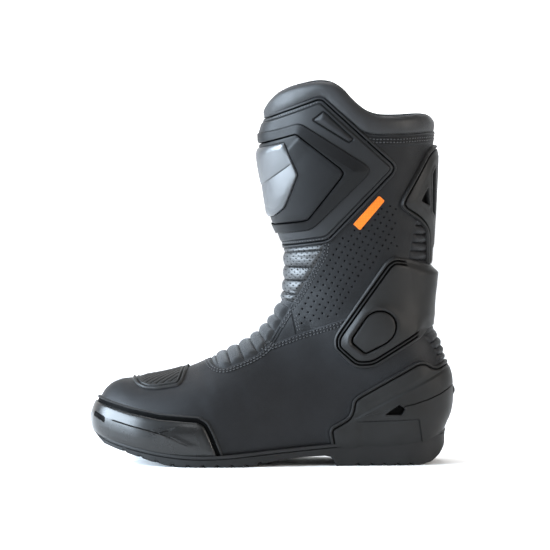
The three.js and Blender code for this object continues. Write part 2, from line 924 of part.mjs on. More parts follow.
const tapes = layer(...STIFFENER);
const tapeEdge = (half, side) => {
  const wide = zipStrip(half, ZIP_BOTTOM[1] - 3, ZIP_TOP[1] + 3);
  const line = zipStrip(GAP / 2, ZIP_BOTTOM[1] - 3, ZIP_TOP[1] + 3);
  return side < 0 ? [wide[0], line[0], line[3], wide[3]] : [line[1], wide[1], wide[2], line[2]];
};
const padClear = prism(disc(...PAD_CENTRE, PAD_RADIUS + GAP, 20), 1);
for (const [side, name] of [[-1, "front"], [1, "rear"]]) {
  const piece = tapes.intersect(prism(tapeEdge(ZIP_TAPE, side), 1)).subtract(padClear);
  addPiece(`zip_tape_${name}`, piece, textile);
}
const chainLayer = layer(-LEATHER, CHAIN_TOP);
const chain = strap(ZIP_CHAIN, ZIP_BOTTOM[1] + STOP, ZIP_TOP[1] - STOP);
addPiece("zip_chain", chainLayer.intersect(chain), metal);
const stopLayer = layer(-LEATHER, STOP_TOP);
const topStop = strap(ZIP_CHAIN, ZIP_TOP[1] - STOP + GAP, ZIP_TOP[1]);
const bottomStop = strap(ZIP_CHAIN, ZIP_BOTTOM[1], ZIP_BOTTOM[1] + STOP - GAP);
addPiece("zip_top_stop", stopLayer.intersect(topStop), metal);
addPiece("zip_bottom_stop", stopLayer.intersect(bottomStop), metal);

// A frame on the inner side of the upper at x, z: its place, and the outward normal.
function innerFrame(x, z) {
  let [ring, a] = [20, 0];
  const step = 1e-3;
  for (let i = 0; i < 12; i += 1) {
    const p = ringPoint(ring, a, 1);
    const q = ringPoint(ring + step, a, 1);
    const r = ringPoint(ring, a + step, 1);
    const [qx, qz, rx, rz] = [q.x - p.x, q.z - p.z, r.x - p.x, r.z - p.z].map((v) => v / step);
    const det = qx * rz - qz * rx;
    ring += ((x - p.x) * rz - (z - p.z) * rx) / det;
    a += ((z - p.z) * qx - (x - p.x) * qz) / det;
  }
  const place = ringPoint(ring, a, 1);
  const up = ringPoint(ring + step, a, 1).sub(place);
  const forward = ringPoint(ring, a + step, 1).sub(place);
  const normal = forward.cross(up).normalize();
  if (normal.y < 0) normal.negate();
  return { place, normal };
}

const zipX = (z) => ZIP_BOTTOM[0] + ((ZIP_TOP[0] - ZIP_BOTTOM[0]) * (z - ZIP_BOTTOM[1])) / ZIP_LENGTH;
const [zipHigh, zipLow] = [ZIP_TOP[1] - STOP, ZIP_BOTTOM[1] + STOP].map((z) => innerFrame(zipX(z), z));
const zipDown = zipLow.place.clone().sub(zipHigh.place).normalize();
const sliderZ = ZIP_TOP[1] - SLIDER_REST;
const sliderAt = innerFrame(zipX(sliderZ), sliderZ);
const zipOut = sliderAt.normal.clone();
zipOut.addScaledVector(zipDown, -zipOut.dot(zipDown)).normalize();
const zipAcross = zipDown.clone().cross(zipOut);
const zipBase = new THREE.Matrix4()
  .makeBasis(zipAcross, zipDown, zipOut)
  .setPosition(sliderAt.place);
const onZip = (geometry) => solid(geometry.applyMatrix4(zipBase));
const zipBox = (w, t0, t1, n0, n1) => {
  const box = new THREE.BoxGeometry(w, t1 - t0, n1 - n0);
  return box.translate(0, (t0 + t1) / 2, (n0 + n1) / 2);
};
const zipBar = (radius, length, sides) => {
  const bar = new THREE.CylinderGeometry(radius, radius, length, sides);
  return bar.rotateZ(Math.PI / 2).translate(0, 0, PULL_PIVOT);
};

function makeZipSlider() {
  const half = SLIDER_LENGTH / 2;
  const plan = [
    [-4.4, -half],
    [4.4, -half],
    [4.8, -half + 3],
    [2.6, half],
    [-2.6, half],
    [-4.8, -half + 3],
  ];
  const shape = new THREE.Shape(plan.map(([w, t]) => new THREE.Vector2(w, t)));
  const plate = new THREE.ExtrudeGeometry(shape, { depth: SLIDER_TOP - SLIDER_LOW, bevelEnabled: false });
  plate.translate(0, 0, SLIDER_LOW);
  let made = onZip(plate).add(onZip(zipBar(BAR_RADIUS, 2 * EAR_OUT, 12)));
  for (const side of [-1, 1]) {
    const ear = zipBox(EAR_OUT - EAR_IN, -1.3, 1.3, SLIDER_TOP - 0.1, PULL_PIVOT + 0.9);
    made = made.add(onZip(ear.translate((side * (EAR_OUT + EAR_IN)) / 2, 0, 0)));
  }
  return made;
}

function makeZipPull() {
  const width = 2 * (EAR_IN - GAP);
  const eye = onZip(zipBar(EYE_RADIUS, width, 16));
  const neck = onZip(zipBox(width, 0, 4, PULL_PIVOT - PULL_HALF, PULL_PIVOT + PULL_HALF));
  const plate = onZip(zipBox(PULL_WIDTH, 3.4, PULL_LENGTH, PULL_PIVOT - PULL_HALF, PULL_PIVOT + PULL_HALF));
  return eye.add(neck).add(plate).subtract(onZip(zipBar(BAR_RADIUS + GAP, width + 4, 12)));
}

addPiece("zip_slider", makeZipSlider(), metal);
addPiece("zip_pull", makeZipPull(), metal);

// ---- Closure flap above the zip, on the inner side ----

const tabRegion = (x0, x1, d = 0) =>
  prism(rectangle(x0, TAB.bottom + d, x1, TAB.top - d), 1);
addPiece("flap_anchor", layer(GAP, FLAP_TOP).intersect(tabRegion(TAB.left, TAB.hinge - 0.4)), leather);
addPiece(
  "closure_flap",
  layer(FLAP_LOW, FLAP_TOP).intersect(tabRegion(TAB.hinge + 0.4, TAB.right)),
  leather,
);
const patch = tabRegion(HOOK_FROM, HOOK_TO, 3);
addPiece("hook_patch", layer(HOOK_LOW, FLAP_LOW - GAP).intersect(patch), textile);
addPiece("loop_patch", layer(GAP, HOOK_LOW - GAP).intersect(patch), textile);

// Places that the joints use: the zip's run, the pull's pivot and the flap's hinge line.
const flapHinge = [TAB.bottom, TAB.top].map((z) => {
  const { place, normal } = innerFrame(TAB.hinge, z);
  return place.clone().addScaledVector(normal, FLAP_TOP + 0.3);
});
const pivot = sliderAt.place.clone().addScaledVector(zipOut, PULL_PIVOT);
boot.userData = {
  zip_down: zipDown.toArray(),
  pull_pivot: pivot.toArray(),
  pull_axis: zipAcross.toArray(),
  flap_hinge: flapHinge.map((p) => p.toArray()),
};

export default boot;
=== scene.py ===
import math
import bmesh
import bpy
import numpy as np
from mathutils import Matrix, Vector


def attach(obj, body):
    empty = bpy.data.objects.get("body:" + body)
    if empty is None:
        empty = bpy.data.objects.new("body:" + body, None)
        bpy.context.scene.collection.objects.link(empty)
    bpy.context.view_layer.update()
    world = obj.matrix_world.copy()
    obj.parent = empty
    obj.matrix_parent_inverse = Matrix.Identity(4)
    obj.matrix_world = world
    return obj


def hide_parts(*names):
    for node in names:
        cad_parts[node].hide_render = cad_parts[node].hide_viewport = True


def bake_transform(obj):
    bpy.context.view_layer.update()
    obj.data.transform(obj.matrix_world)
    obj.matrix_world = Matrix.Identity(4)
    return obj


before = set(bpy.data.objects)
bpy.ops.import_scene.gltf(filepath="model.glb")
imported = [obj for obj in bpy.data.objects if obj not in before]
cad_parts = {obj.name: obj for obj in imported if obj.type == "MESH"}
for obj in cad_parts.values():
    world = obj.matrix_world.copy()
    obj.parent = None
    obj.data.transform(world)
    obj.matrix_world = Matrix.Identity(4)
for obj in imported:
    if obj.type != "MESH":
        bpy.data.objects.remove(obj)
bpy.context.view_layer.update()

STEP = 1.0  # mm between the points of a panel
FAR = 12.0  # mm: distances to a line are worked out up to here
GIRTH = 310  # mm round the widest ring
TINY = 1e-12


def unit(v):
    """Vectors of length one."""
    return v / np.maximum(np.linalg.norm(v, axis=-1, keepdims=True), TINY)


def lengths(line):
    """Length along a line at each of its points."""
    return np.concatenate([[0], np.cumsum(np.linalg.norm(np.diff(line, axis=0), axis=1))])


def quads(rows, cols, closed=True):
    """Triangles between neighbouring rows of points; each row is a ring, or an open line."""
    i, j = np.meshgrid(np.arange(rows - 1), np.arange(cols if closed else cols - 1), indexing="ij")
    j2 = (j + 1) % cols
    a, b, c, d = i * cols + j, i * cols + j2, (i + 1) * cols + j2, (i + 1) * cols + j
    return np.vstack([np.stack([a, b, c], -1).reshape(-1, 3), np.stack([a, c, d], -1).reshape(-1, 3)])


# ---------------------------------------------------------------- surface of the upper (mm)
# Rings from the toe tip to above the rim: front x, z; back x, z; centre y; half width.
RINGS = np.array([
    [-230.5, 38, -230.5, 34, 12, 0], [-226.5, 50.5, -228, 24, 11, 17],
    [-220, 61, -220.5, 13, 9.5, 28.5], [-208.5, 67.5, -208, 6, 7.5, 38.5],
    [-190, 69.5, -190, 1, 4, 46.5], [-165, 74.5, -165, -3, 0.5, 51.5],
    [-140, 83, -142, -4, -1.5, 52.5], [-118, 92.5, -116, -3, -3, 49.5],
    [-101, 102, -85, 1, -2.5, 45.5], [-89.5, 112, -52, 5, -1, 42],
    [-82, 121.5, -18, 7, 0, 40.5], [-77.5, 130, 16, 9, 0, 39.5],
    [-75, 138, 45, 18, 0, 39.5], [-73.8, 146, 57.5, 42, 0, 40.5],
    [-73.2, 154, 59, 66, 0, 41.5], [-72.8, 162, 54.5, 91, 0, 41.5],
    [-73, 171, 47, 113, 0, 41], [-74, 181, 43.5, 136, 0, 42],
    [-77.5, 195, 43, 163, 0, 44.5], [-82.5, 213, 44.5, 192, 0, 48],
    [-86.5, 232, 46, 218, 0, 51.5], [-88.5, 252, 47, 243, 0, 54.5],
    [-89, 272, 47.5, 266, 0, 56.5], [-88, 294, 47.5, 290, 0, 57.5],
    [-85, 318, 47, 318, 0, 57.5],
])
# ring, widest point, front squareness, back squareness
RING_SHAPE = np.array([
    [0, -0.1, 2.1, 2.6], [4, -0.4, 2.3, 3.6], [8, -0.4, 2.1, 4], [11, -0.3, 2.1, 4],
    [13, -0.15, 2.1, 2.5], [17, -0.1, 2.1, 2.2], [24, -0.05, 2.1, 2.2],
])
LAST = len(RINGS) - 1
PADDED = np.vstack([2 * RINGS[0] - RINGS[1], RINGS, 2 * RINGS[-1] - RINGS[-2]])


def along(s):
    """All six ring values at ring numbers s."""
    i = np.clip(np.floor(s).astype(int), 0, LAST - 1)
    t = (s - i)[..., None]
    p, q, r = PADDED[i], PADDED[i + 1], PADDED[i + 2]
    w = PADDED[np.minimum(i + 3, LAST + 2)]
    return q + 0.5 * t * (r - p + t * (2 * p - 5 * q + 4 * r - w + t * (3 * (q - r) + w - p)))


def shape_at(s):
    """Widest point and squareness, front and back, at ring numbers s."""
    k = np.clip(np.searchsorted(RING_SHAPE[:, 0], s, side="left") - 1, 0, len(RING_SHAPE) - 2)
    lo, hi = RING_SHAPE[k], RING_SHAPE[k + 1]
    t = np.clip((s - lo[..., 0]) / (hi[..., 0] - lo[..., 0]), 0, 1)
    t = (t * t * (3 - 2 * t))[..., None]
    return (lo + (hi - lo) * t)[..., 1:]


def ring_point(s, a, side):
    """Points on ring s at place a (-1 back, 1 front) of one side."""
    v, f = along(s), shape_at(s)
    wide = f[..., 0]
    n = np.where(a > wide, f[..., 1], f[..., 2])
    t = np.clip(np.where(a > wide, (a - wide) / (1 - wide), (wide - a) / (wide + 1)), 0, 1)
    y = v[..., 4] + side * v[..., 5] * np.maximum(0, 1 - t ** n) ** (1 / n)
    k = (a + 1) / 2
    return np.stack([v[..., 2] + (v[..., 0] - v[..., 2]) * k, y,
                     v[..., 3] + (v[..., 1] - v[..., 3]) * k], -1)


def make_rows(step):
    """Ring numbers so that neither the front nor the back line steps further than this."""
    s = np.linspace(0.0005, LAST, 6001)
    v = along(s)
    front = np.hypot(np.diff(v[:, 0]), np.diff(v[:, 1]))
    back = np.hypot(np.diff(v[:, 2]), np.diff(v[:, 3]))
    wide = np.abs(np.diff(v[:, 5]))
    run = np.concatenate([[0], np.cumsum(np.maximum(np.maximum(front, 0.8 * back), wide))])
    count = int(run[-1] / step) + 1
    return np.interp(np.linspace(0, run[-1], count), run, s)


def make_grid(step):
    """Points of the whole upper, evenly spaced along each ring, with normals."""
    rows = make_rows(step)
    cols = int(round(GIRTH / step / 4)) * 4
    half = 160
    theta = np.linspace(0, np.pi, half + 1)
    a = np.cos(theta)
    turn = np.concatenate([theta, 2 * np.pi - theta[-2::-1]])
    fine = np.stack([np.concatenate([
        ring_point(np.full(half + 1, s), a, -1.0),
        ring_point(np.full(half, s), a[-2::-1], 1.0)]) for s in rows])
    run = np.concatenate([np.zeros((len(rows), 1)), np.cumsum(
        np.linalg.norm(np.diff(fine, axis=1), axis=2), 1)], 1)
    want = np.arange(cols) / cols
    angle = np.stack([np.interp(want * r[-1], r, turn) for r in run])
    side = np.where(angle <= np.pi, -1.0, 1.0)
    s2 = np.repeat(rows[:, None], cols, 1)
    pos = ring_point(s2, np.cos(angle), side)
    east = np.roll(pos, -1, 1) - np.roll(pos, 1, 1)
    north = np.gradient(pos, axis=0)
    normal = unit(-np.cross(north, east))
    normal[0] = unit(normal[0].mean(0))
    return {"pos": pos, "normal": normal, "side": side, "rows": len(rows), "cols": cols}


GRIDS = {}


def grid(step):
    """The upper's points at this spacing, worked out once."""
    if step not in GRIDS:
        GRIDS[step] = make_grid(step)
    return GRIDS[step]


# Where a side-view point lies on the upper.
TABLE_S = np.linspace(0.02, LAST, 2401)
TABLE = along(TABLE_S)


def locate(points, side):
    """Ring number, place on the ring (-1 back, 1 front) of side-view points, and which of them lie on it."""
    p = np.asarray(points, float)
    fx, fz, bx, bz = (TABLE[None, :, c] for c in range(4))
    dx, dz = fx - bx, fz - bz
    px, pz = p[:, 0, None] - bx, p[:, 1, None] - bz
    g = dx * pz - dz * px
    k = (px * dx + pz * dz) / np.maximum(dx * dx + dz * dz, 1e-9)
    change = (g[:, :-1] * g[:, 1:] <= 0)
    off = np.where(change, np.abs(k[:, :-1] - 0.5), 1e6)
    best = np.argmin(off, 1)
    n = np.arange(len(p))
    g0, g1 = g[n, best], g[n, best + 1]
    t = g0 / np.where(np.abs(g0 - g1) < 1e-12, 1e-12, g0 - g1)
    s = TABLE_S[best] + t * (TABLE_S[1] - TABLE_S[0])
    a = 2 * (k[n, best] * (1 - t) + k[n, best + 1] * t) - 1
    ok = (off[n, best] < 0.5001)
    return s, np.clip(a, -1, 1), ok


def surface(points, side):
    """Place, outward normal and validity of side-view points on that side of the upper."""
    s, a, ok = locate(points, side)
    e, f = 1e-3, 4e-4
    a0 = np.clip(a, -0.9995, 0.9995)
    s1 = np.minimum(s + e, LAST)
    p = ring_point(s, a, side)
    up = ring_point(s1, a0, side) - ring_point(s1 - e, a0, side)
    forward = ring_point(s, a0 + f, side) - ring_point(s, a0 - f, side)
    n = unit(np.cross(up, forward) * side)
    out = ring_point(s, a0, side) - ring_point(s, np.zeros_like(a), 0.0)
    flip = np.sum(n * out, 1) < 0
    n[flip] *= -1
    return p, n, ok


# ---------------------------------------------------------------- outlines in the side view
def rounded(points, r, steps=4):
    """A closed outline with its corners rounded; r is one radius or one for each corner."""
    p = np.asarray(points, float)
    n = len(p)
    radii = np.full(n, float(r)) if np.isscalar(r) else np.asarray(r, float)
    out = []
    for i in range(n):
        a, b, c = p[i - 1], p[i], p[(i + 1) % n]
        u, v = a - b, c - b
        lu, lv = np.linalg.norm(u), np.linalg.norm(v)
        if radii[i] <= 0 or lu < 1e-6 or lv < 1e-6:
            out.append(b)
            continue
        u, v = u / lu, v / lv
        d = min(radii[i], 0.45 * lu, 0.45 * lv)
        p0, p1 = b + u * d, b + v * d
        for t in np.linspace(0, 1, steps + 1):
            out.append((1 - t) ** 2 * p0 + 2 * t * (1 - t) * b + t * t * p1)
    return np.array(out)


def dense(points, closed=True, step=2.0):
    """The same line with points at most a step apart."""
    p = np.asarray(points, float)
    q = np.roll(p, -1, 0) if closed else p[1:]
    p0 = p if closed else p[:-1]
    out = []
    for a, b in zip(p0, q):
        k = max(1, int(np.ceil(np.linalg.norm(b - a) / step)))
        out.append(a + (b - a) * (np.arange(k) / k)[:, None])
    if not closed:
        out.append(p[-1:])
    return np.vstack(out)


def inside(poly, x, z):
    """Which of the places lie inside a closed outline."""
    odd = np.zeros(x.shape, bool)
    p = np.asarray(poly, float)
    q = np.roll(p, -1, 0)
    for (x0, z0), (x1, z1) in zip(p, q):
        if z0 == z1:
            continue
        hit = ((z0 > z) != (z1 > z)) & (x < (x1 - x0) * (z - z0) / (z1 - z0) + x0)
        odd ^= hit
    return odd


def to_silhouette(a, b, side, count=7):
    """Rows of points from a, on the upper, towards b, off it, up to the silhouette; closer near it."""
    lo, hi = np.zeros(len(a)), np.ones(len(a))
    for _ in range(14):
        mid = (lo + hi) / 2
        on = locate(a + (b - a) * mid[:, None], side)[2]
        lo, hi = np.where(on, mid, lo), np.where(on, hi, mid)
    return [a + (b - a) * (lo * (1 - (1 - u) ** 2))[:, None] for u in np.linspace(0, 1, count + 1)]


def segments(poly, side, closed=True):
    """Short straight pieces in space along a side-view line, up to the middle line of the upper."""
    d = dense(poly, closed)
    e = np.roll(d, -1, 0) if closed else d[1:]
    d = d if closed else d[:-1]
    on0, on1 = locate(d, side)[2], locate(e, side)[2]
    starts, ends = [d[on0 & on1]], [e[on0 & on1]]
    half = on0 != on1
    if half.any():
        rows = to_silhouette(np.where(on0[half, None], d[half], e[half]),
                             np.where(on0[half, None], e[half], d[half]), side)
        starts += rows[:-1]
        ends += rows[1:]
    return surface(np.vstack(starts), side)[0], surface(np.vstack(ends), side)[0]


def distance(v, segs, far=FAR):
    """Distance in space from points v to segments, worked out near them only."""
    out = np.full(len(v), far)
    a = np.vstack([s[0] for s in segs]) if segs else np.zeros((0, 3))
    b = np.vstack([s[1] for s in segs]) if segs else np.zeros((0, 3))
    if not len(a):
        return out
    for i in range(0, len(a), 24):
        aa, bb = a[i:i + 24], b[i:i + 24]
        lo = np.minimum(aa, bb).min(0) - far
        hi = np.maximum(aa, bb).max(0) + far
        near = np.nonzero(np.all((v > lo) & (v < hi), 1))[0]
        if not len(near):
            continue
        for j in range(0, len(near), 60000):
            idx = near[j:j + 60000]
            w = v[idx]
            best = out[idx]
            for p, q in zip(aa, bb):
                e = q - p
                t = np.clip((w - p) @ e / max(e @ e, 1e-12), 0, 1)
                dd = w - p - t[:, None] * e
                best = np.minimum(best, np.sqrt(np.einsum("ij,ij->i", dd, dd)))
            out[idx] = best
    return out


class Region:
    """Outlines on the outer side and on the inner side; positive distance is inside."""

    def __init__(self, outer=None, inner=None, both=None):
        self.polys = {-1: [], 1: []}
        for side, p in ((-1, outer), (1, inner), (-1, both), (1, both)):
            if p is not None:
                self.polys[side].append(np.asarray(p, float))
        self.segs = [segments(p, s) for s in (-1, 1) for p in self.polys[s]]

    def __call__(self, m):
        inn = np.zeros(len(m["x"]), bool)
        for s in (-1, 1):
            for p in self.polys[s]:
                on = m["side"] == s
                inn[on] |= inside(p, m["x"][on], m["z"][on])
        d = distance(m["P"], self.segs)
        return np.where(inn, d, -d)


class Mark:
    """Signed distance, seen from the side, to an open line, for thin engraved lines."""

    def __init__(self, points):
        self.points = np.asarray(points, float)

    def __call__(self, m):
        best, sign = np.full(len(m["x"]), 99.0), np.ones(len(m["x"]))
        w = np.stack([m["x"], m["z"]], 1)
        for p, q in zip(self.points, self.points[1:]):
            e = q - p
            t = np.clip((w - p) @ e / (e @ e), 0, 1)
            d = np.hypot(*(w - p - t[:, None] * e).T)
            near = d < best
            turn = np.sign((w - p)[:, 0] * e[1] - (w - p)[:, 1] * e[0])
            sign = np.where(near, np.where(turn == 0, 1, turn), sign)
            best = np.minimum(best, d)
        return np.clip(best, 0, FAR) * sign


class Line:
    """Distance to an open line on one side or both."""

    def __init__(self, points, sides=(-1, 1), far=FAR):
        self.segs = [segments(points, s, closed=False) for s in sides]
        self.far = far

    def __call__(self, m):
        return distance(m["P"], self.segs, self.far)


# ---------------------------------------------------------------- patches of the surface
def sheet_of(region_polys, step=None, margin=3.0):
    """The triangles of the grid round the given outlines (side -> list of polygons)."""
    g = grid(step or STEP)
    rows, cols = g["rows"], g["cols"]
    x, z, side = g["pos"][..., 0], g["pos"][..., 2], g["side"]
    middle = np.isin(np.arange(cols), (0, cols // 2))[None]
    keep = np.zeros((rows, cols), bool)
    for s, polys in region_polys.items():
        for p in polys:
            lo, hi = np.min(p, 0) - margin, np.max(p, 0) + margin
            keep |= ((side == s) | middle) & (x > lo[0]) & (x < hi[0]) & (z > lo[1]) & (z < hi[1])
    k = keep[:-1] & keep[1:]
    k = k & np.roll(k, -1, 1)
    i, j = np.nonzero(k)
    j2 = (j + 1) % cols
    a, b, c, d = i * cols + j, i * cols + j2, (i + 1) * cols + j, (i + 1) * cols + j2
    flip = ((i + j) % 2 == 0)[:, None]
    t1 = np.where(flip, np.stack([a, b, c], 1), np.stack([a, b, d], 1))
    t2 = np.where(flip, np.stack([b, d, c], 1), np.stack([a, d, c], 1))
    tris = np.vstack([t1, t2])
    used, inv = np.unique(tris, return_inverse=True)
    tris = inv.reshape(-1, 3)
    P = g["pos"].reshape(-1, 3)[used]
    N = g["normal"].reshape(-1, 3)[used]
    return {"P": P, "N": N, "x": P[:, 0], "z": P[:, 2], "side": g["side"].ravel()[used], "T": tris}


KEYS = ("P", "N", "x", "z", "side")


def lerp_points(m, a, b, t, fields):
    """New points between points a and b of the sheet."""
    out = {}
    for k in list(KEYS) + fields:
        v = m[k]
        tt = t[:, None] if v.ndim == 2 else t
        out[k] = v[a] * (1 - tt) + v[b] * tt
    out["side"] = np.where(t < 0.5, m["side"][a], m["side"][b])
    return out


def split(m, field, value, fields):
    """Cuts the triangles along the line where the field has this value."""
    f = m[field] - value
    f = np.where(np.abs(f) < 1e-5, 1e-5, f)
    T = m["T"]
    pos = f[T] > 0
    n = pos.sum(1)
    cut = (n == 1) | (n == 2)
    if not cut.any():
        return m
    C = T[cut]
    pc = pos[cut]
    lone = np.where(n[cut] == 1, np.argmax(pc, 1), np.argmin(pc, 1))
    r = np.arange(len(C))
    A, B, D = C[r, lone], C[r, (lone + 1) % 3], C[r, (lone + 2) % 3]
    e = np.vstack([np.stack([A, B], 1), np.stack([A, D], 1)])
    es = np.sort(e, 1)
    uniq, inv = np.unique(es, axis=0, return_inverse=True)
    inv = inv.reshape(-1)
    a, b = uniq[:, 0], uniq[:, 1]
    t = f[a] / (f[a] - f[b])
    new = lerp_points(m, a, b, t, fields)
    base = len(m["P"])
    p, q = base + inv[:len(C)], base + inv[len(C):]
    tris = [T[~cut], np.stack([A, p, q], 1), np.stack([p, B, D], 1), np.stack([p, D, q], 1)]
    out = dict(m)
    for k in list(KEYS) + fields:
        out[k] = np.concatenate([m[k], new[k]])
    out[field][base:] = value
    out["T"] = np.vstack(tris)
    return out


def refine(m, mask, fields):
    """Halves every edge of the triangles in the mask, and closes up round them."""
    T = m["T"]
    E = np.sort(np.stack([T[:, [0, 1]], T[:, [1, 2]], T[:, [2, 0]]], 1), 2).reshape(-1, 2)
    uniq, inv = np.unique(E, axis=0, return_inverse=True)
    inv = inv.reshape(-1, 3)
    marked = np.zeros(len(uniq), bool)
    marked[inv[mask].ravel()] = True
    ids = np.full(len(uniq), -1)
    ids[marked] = len(m["P"]) + np.arange(marked.sum())
    a, b = uniq[marked, 0], uniq[marked, 1]
    new = lerp_points(m, a, b, np.full(len(a), 0.5), fields)
    k = marked[inv]
    cnt = k.sum(1)
    mid = ids[inv]
    out_t = [T[cnt == 0]]
    t, q = T[cnt == 3], mid[cnt == 3]
    out_t += [np.stack([t[:, 0], q[:, 0], q[:, 2]], 1), np.stack([q[:, 0], t[:, 1], q[:, 1]], 1),
              np.stack([q[:, 2], q[:, 1], t[:, 2]], 1), q]
    for c in (0, 1, 2):
        sel = (cnt == 1) & k[:, c]
        t, q = T[sel], mid[sel, c]
        A, B, C = t[:, c], t[:, (c + 1) % 3], t[:, (c + 2) % 3]
        out_t += [np.stack([A, q, C], 1), np.stack([q, B, C], 1)]
        sel = (cnt == 2) & ~k[:, c]
        t = T[sel]
        A, B, C = t[:, c], t[:, (c + 1) % 3], t[:, (c + 2) % 3]
        qb, qc = mid[sel, (c + 1) % 3], mid[sel, (c + 2) % 3]
        out_t += [np.stack([A, B, qb], 1), np.stack([A, qb, qc], 1), np.stack([qc, qb, C], 1)]
    out = dict(m)
    for key in list(KEYS) + fields:
        out[key] = np.concatenate([m[key], new[key]])
    out["T"] = np.vstack(out_t)
    return out


def border(T):
    """Directed border edges of the triangles."""
    E = np.vstack([T[:, [0, 1]], T[:, [1, 2]], T[:, [2, 0]]])
    key = np.sort(E, 1)
    _, inv, cnt = np.unique(key, axis=0, return_inverse=True, return_counts=True)
    return E[cnt[inv.reshape(-1)] == 1]


def mesh_object(name, verts, tris, mat, sharp=38.0, attrs=None):
    """A Blender object from points in millimetres."""
    me = bpy.data.meshes.new(name)
    v = np.asarray(verts, np.float32) * 0.001
    t = np.asarray(tris, np.int32)
    me.vertices.add(len(v))
    me.vertices.foreach_set("co", v.ravel())
    me.loops.add(t.size)
    me.loops.foreach_set("vertex_index", t.ravel())
    me.polygons.add(len(t))
    me.polygons.foreach_set("loop_start", np.arange(0, t.size, t.shape[1], dtype=np.int32))
    me.update(calc_edges=True)
    me.validate()
    me.polygons.foreach_set("use_smooth", np.ones(len(me.polygons), bool))
    me.set_sharp_from_angle(angle=math.radians(sharp))
    for key, val in (attrs or {}).items():
        if len(val) == len(me.vertices):
            at = me.attributes.new(key, "FLOAT", "POINT")
            at.data.foreach_set("value", np.asarray(val, np.float32))
    me.materials.append(mat)
    ob = bpy.data.objects.new(name, me)
    bpy.context.scene.collection.objects.link(ob)
    return ob


def place(ob, body, nodes=()):
    """Says which body a piece rides on and what it stands for."""
    if body == "flex":
        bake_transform(ob)
    else:
        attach(ob, body)
    if nodes:
        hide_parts(*nodes)
    return ob


def panel(name, body, region, fields, height, mat, slot_name, nodes=None, skirt=-0.4, step=None, sharp=38.0,
          finer=None, late=None, cuts=(), flip=False, solid=False, under=None):
    """A piece of the upper: the region of the surface, raised by height(fields).

    fields: name -> (function of the sheet, values to cut along); "edge", how far inside, has only values.
    late: more fields, worked out after the triangles picked by finer are halved.
    cuts: (field, value, sign) keeps only what lies on that side of the value.
    nodes: what it stands for, when that isn't the node of its own name.
    skirt: how far out the lower end of the wall round the piece is; solid closes the underside too.
    """
    late = late or {}
    m = sheet_of(region.polys, step)
    m["edge"] = region(m)
    names = ["edge"]
    m["T"] = m["T"][m["edge"][m["T"]].max(1) > -2.5]
    m = compact(m)

    def work_out(some):
        for k, v in some.items():
            if k != "edge":
                m[k] = v[0](m)
                names.append(k)

    work_out(fields)
    for _ in range(finer[1] if finer else 0):
        m = refine(m, finer[0](m)[m["T"]].any(1), names)
    work_out(late)
    for k, v in {**fields, **late}.items():
        for value in v if k == "edge" else v[1]:
            m = split(m, k, value, names)
    m = split(m, "edge", 0.0, names)
    m["T"] = m["T"][m["edge"][m["T"]].mean(1) > 0]
    for k, v, sign in cuts:
        m = split(m, k, v, names)
        m["T"] = m["T"][(m[k][m["T"]].mean(1) - v) * sign > 0]
    m = compact(m)
    h = height(m)
    top = m["P"] + m["N"] * np.asarray(h)[:, None]
    E = border(m["T"])
    loop = np.unique(E)
    at = np.full(len(top), -1)
    at[loop] = np.arange(len(loop))
    low = m["P"][loop] + m["N"][loop] * skirt
    base = len(top)
    a, b = at[E[:, 0]], at[E[:, 1]]
    n = len(loop)
    wall = np.vstack([np.stack([base + b, base + a, base + n + a], 1),
                      np.stack([base + b, base + n + a, base + n + b], 1)])
    verts = np.vstack([top, top[loop], low])
    tris = np.vstack([m["T"], wall])
    tris = tris[:, ::-1] if flip else tris
    if solid:  # the underside, seen when the piece opens
        low = skirt + blank(m) - (under(m) if under else 0)
        tris = np.vstack([tris, m["T"][:, ::-1] + len(verts)])
        verts = np.vstack([verts, m["P"] + m["N"] * low[:, None]])
    edge = np.concatenate([m["edge"], m["edge"][loop], np.full(n, -1.0)])
    # painted shade of each point, passed to the material as an attribute
    painted_shade = m.get("painted_shade", np.zeros(len(top)))
    painted_shade = np.concatenate([painted_shade, painted_shade[loop], np.zeros(n)])
    if solid:
        edge = np.concatenate([edge, m["edge"]])
        painted_shade = np.concatenate([painted_shade, blank(m)])
    ob = mesh_object(name, verts, tris, mat, sharp, {"edge": edge, "painted_shade": painted_shade})
    return place(ob, body, nodes or (name,))


def compact(m):
    """The sheet without the points that no triangle uses."""
    used, inv = np.unique(m["T"], return_inverse=True)
    return {k: inv.reshape(-1, 3) if k == "T" else v[used] for k, v in m.items()}


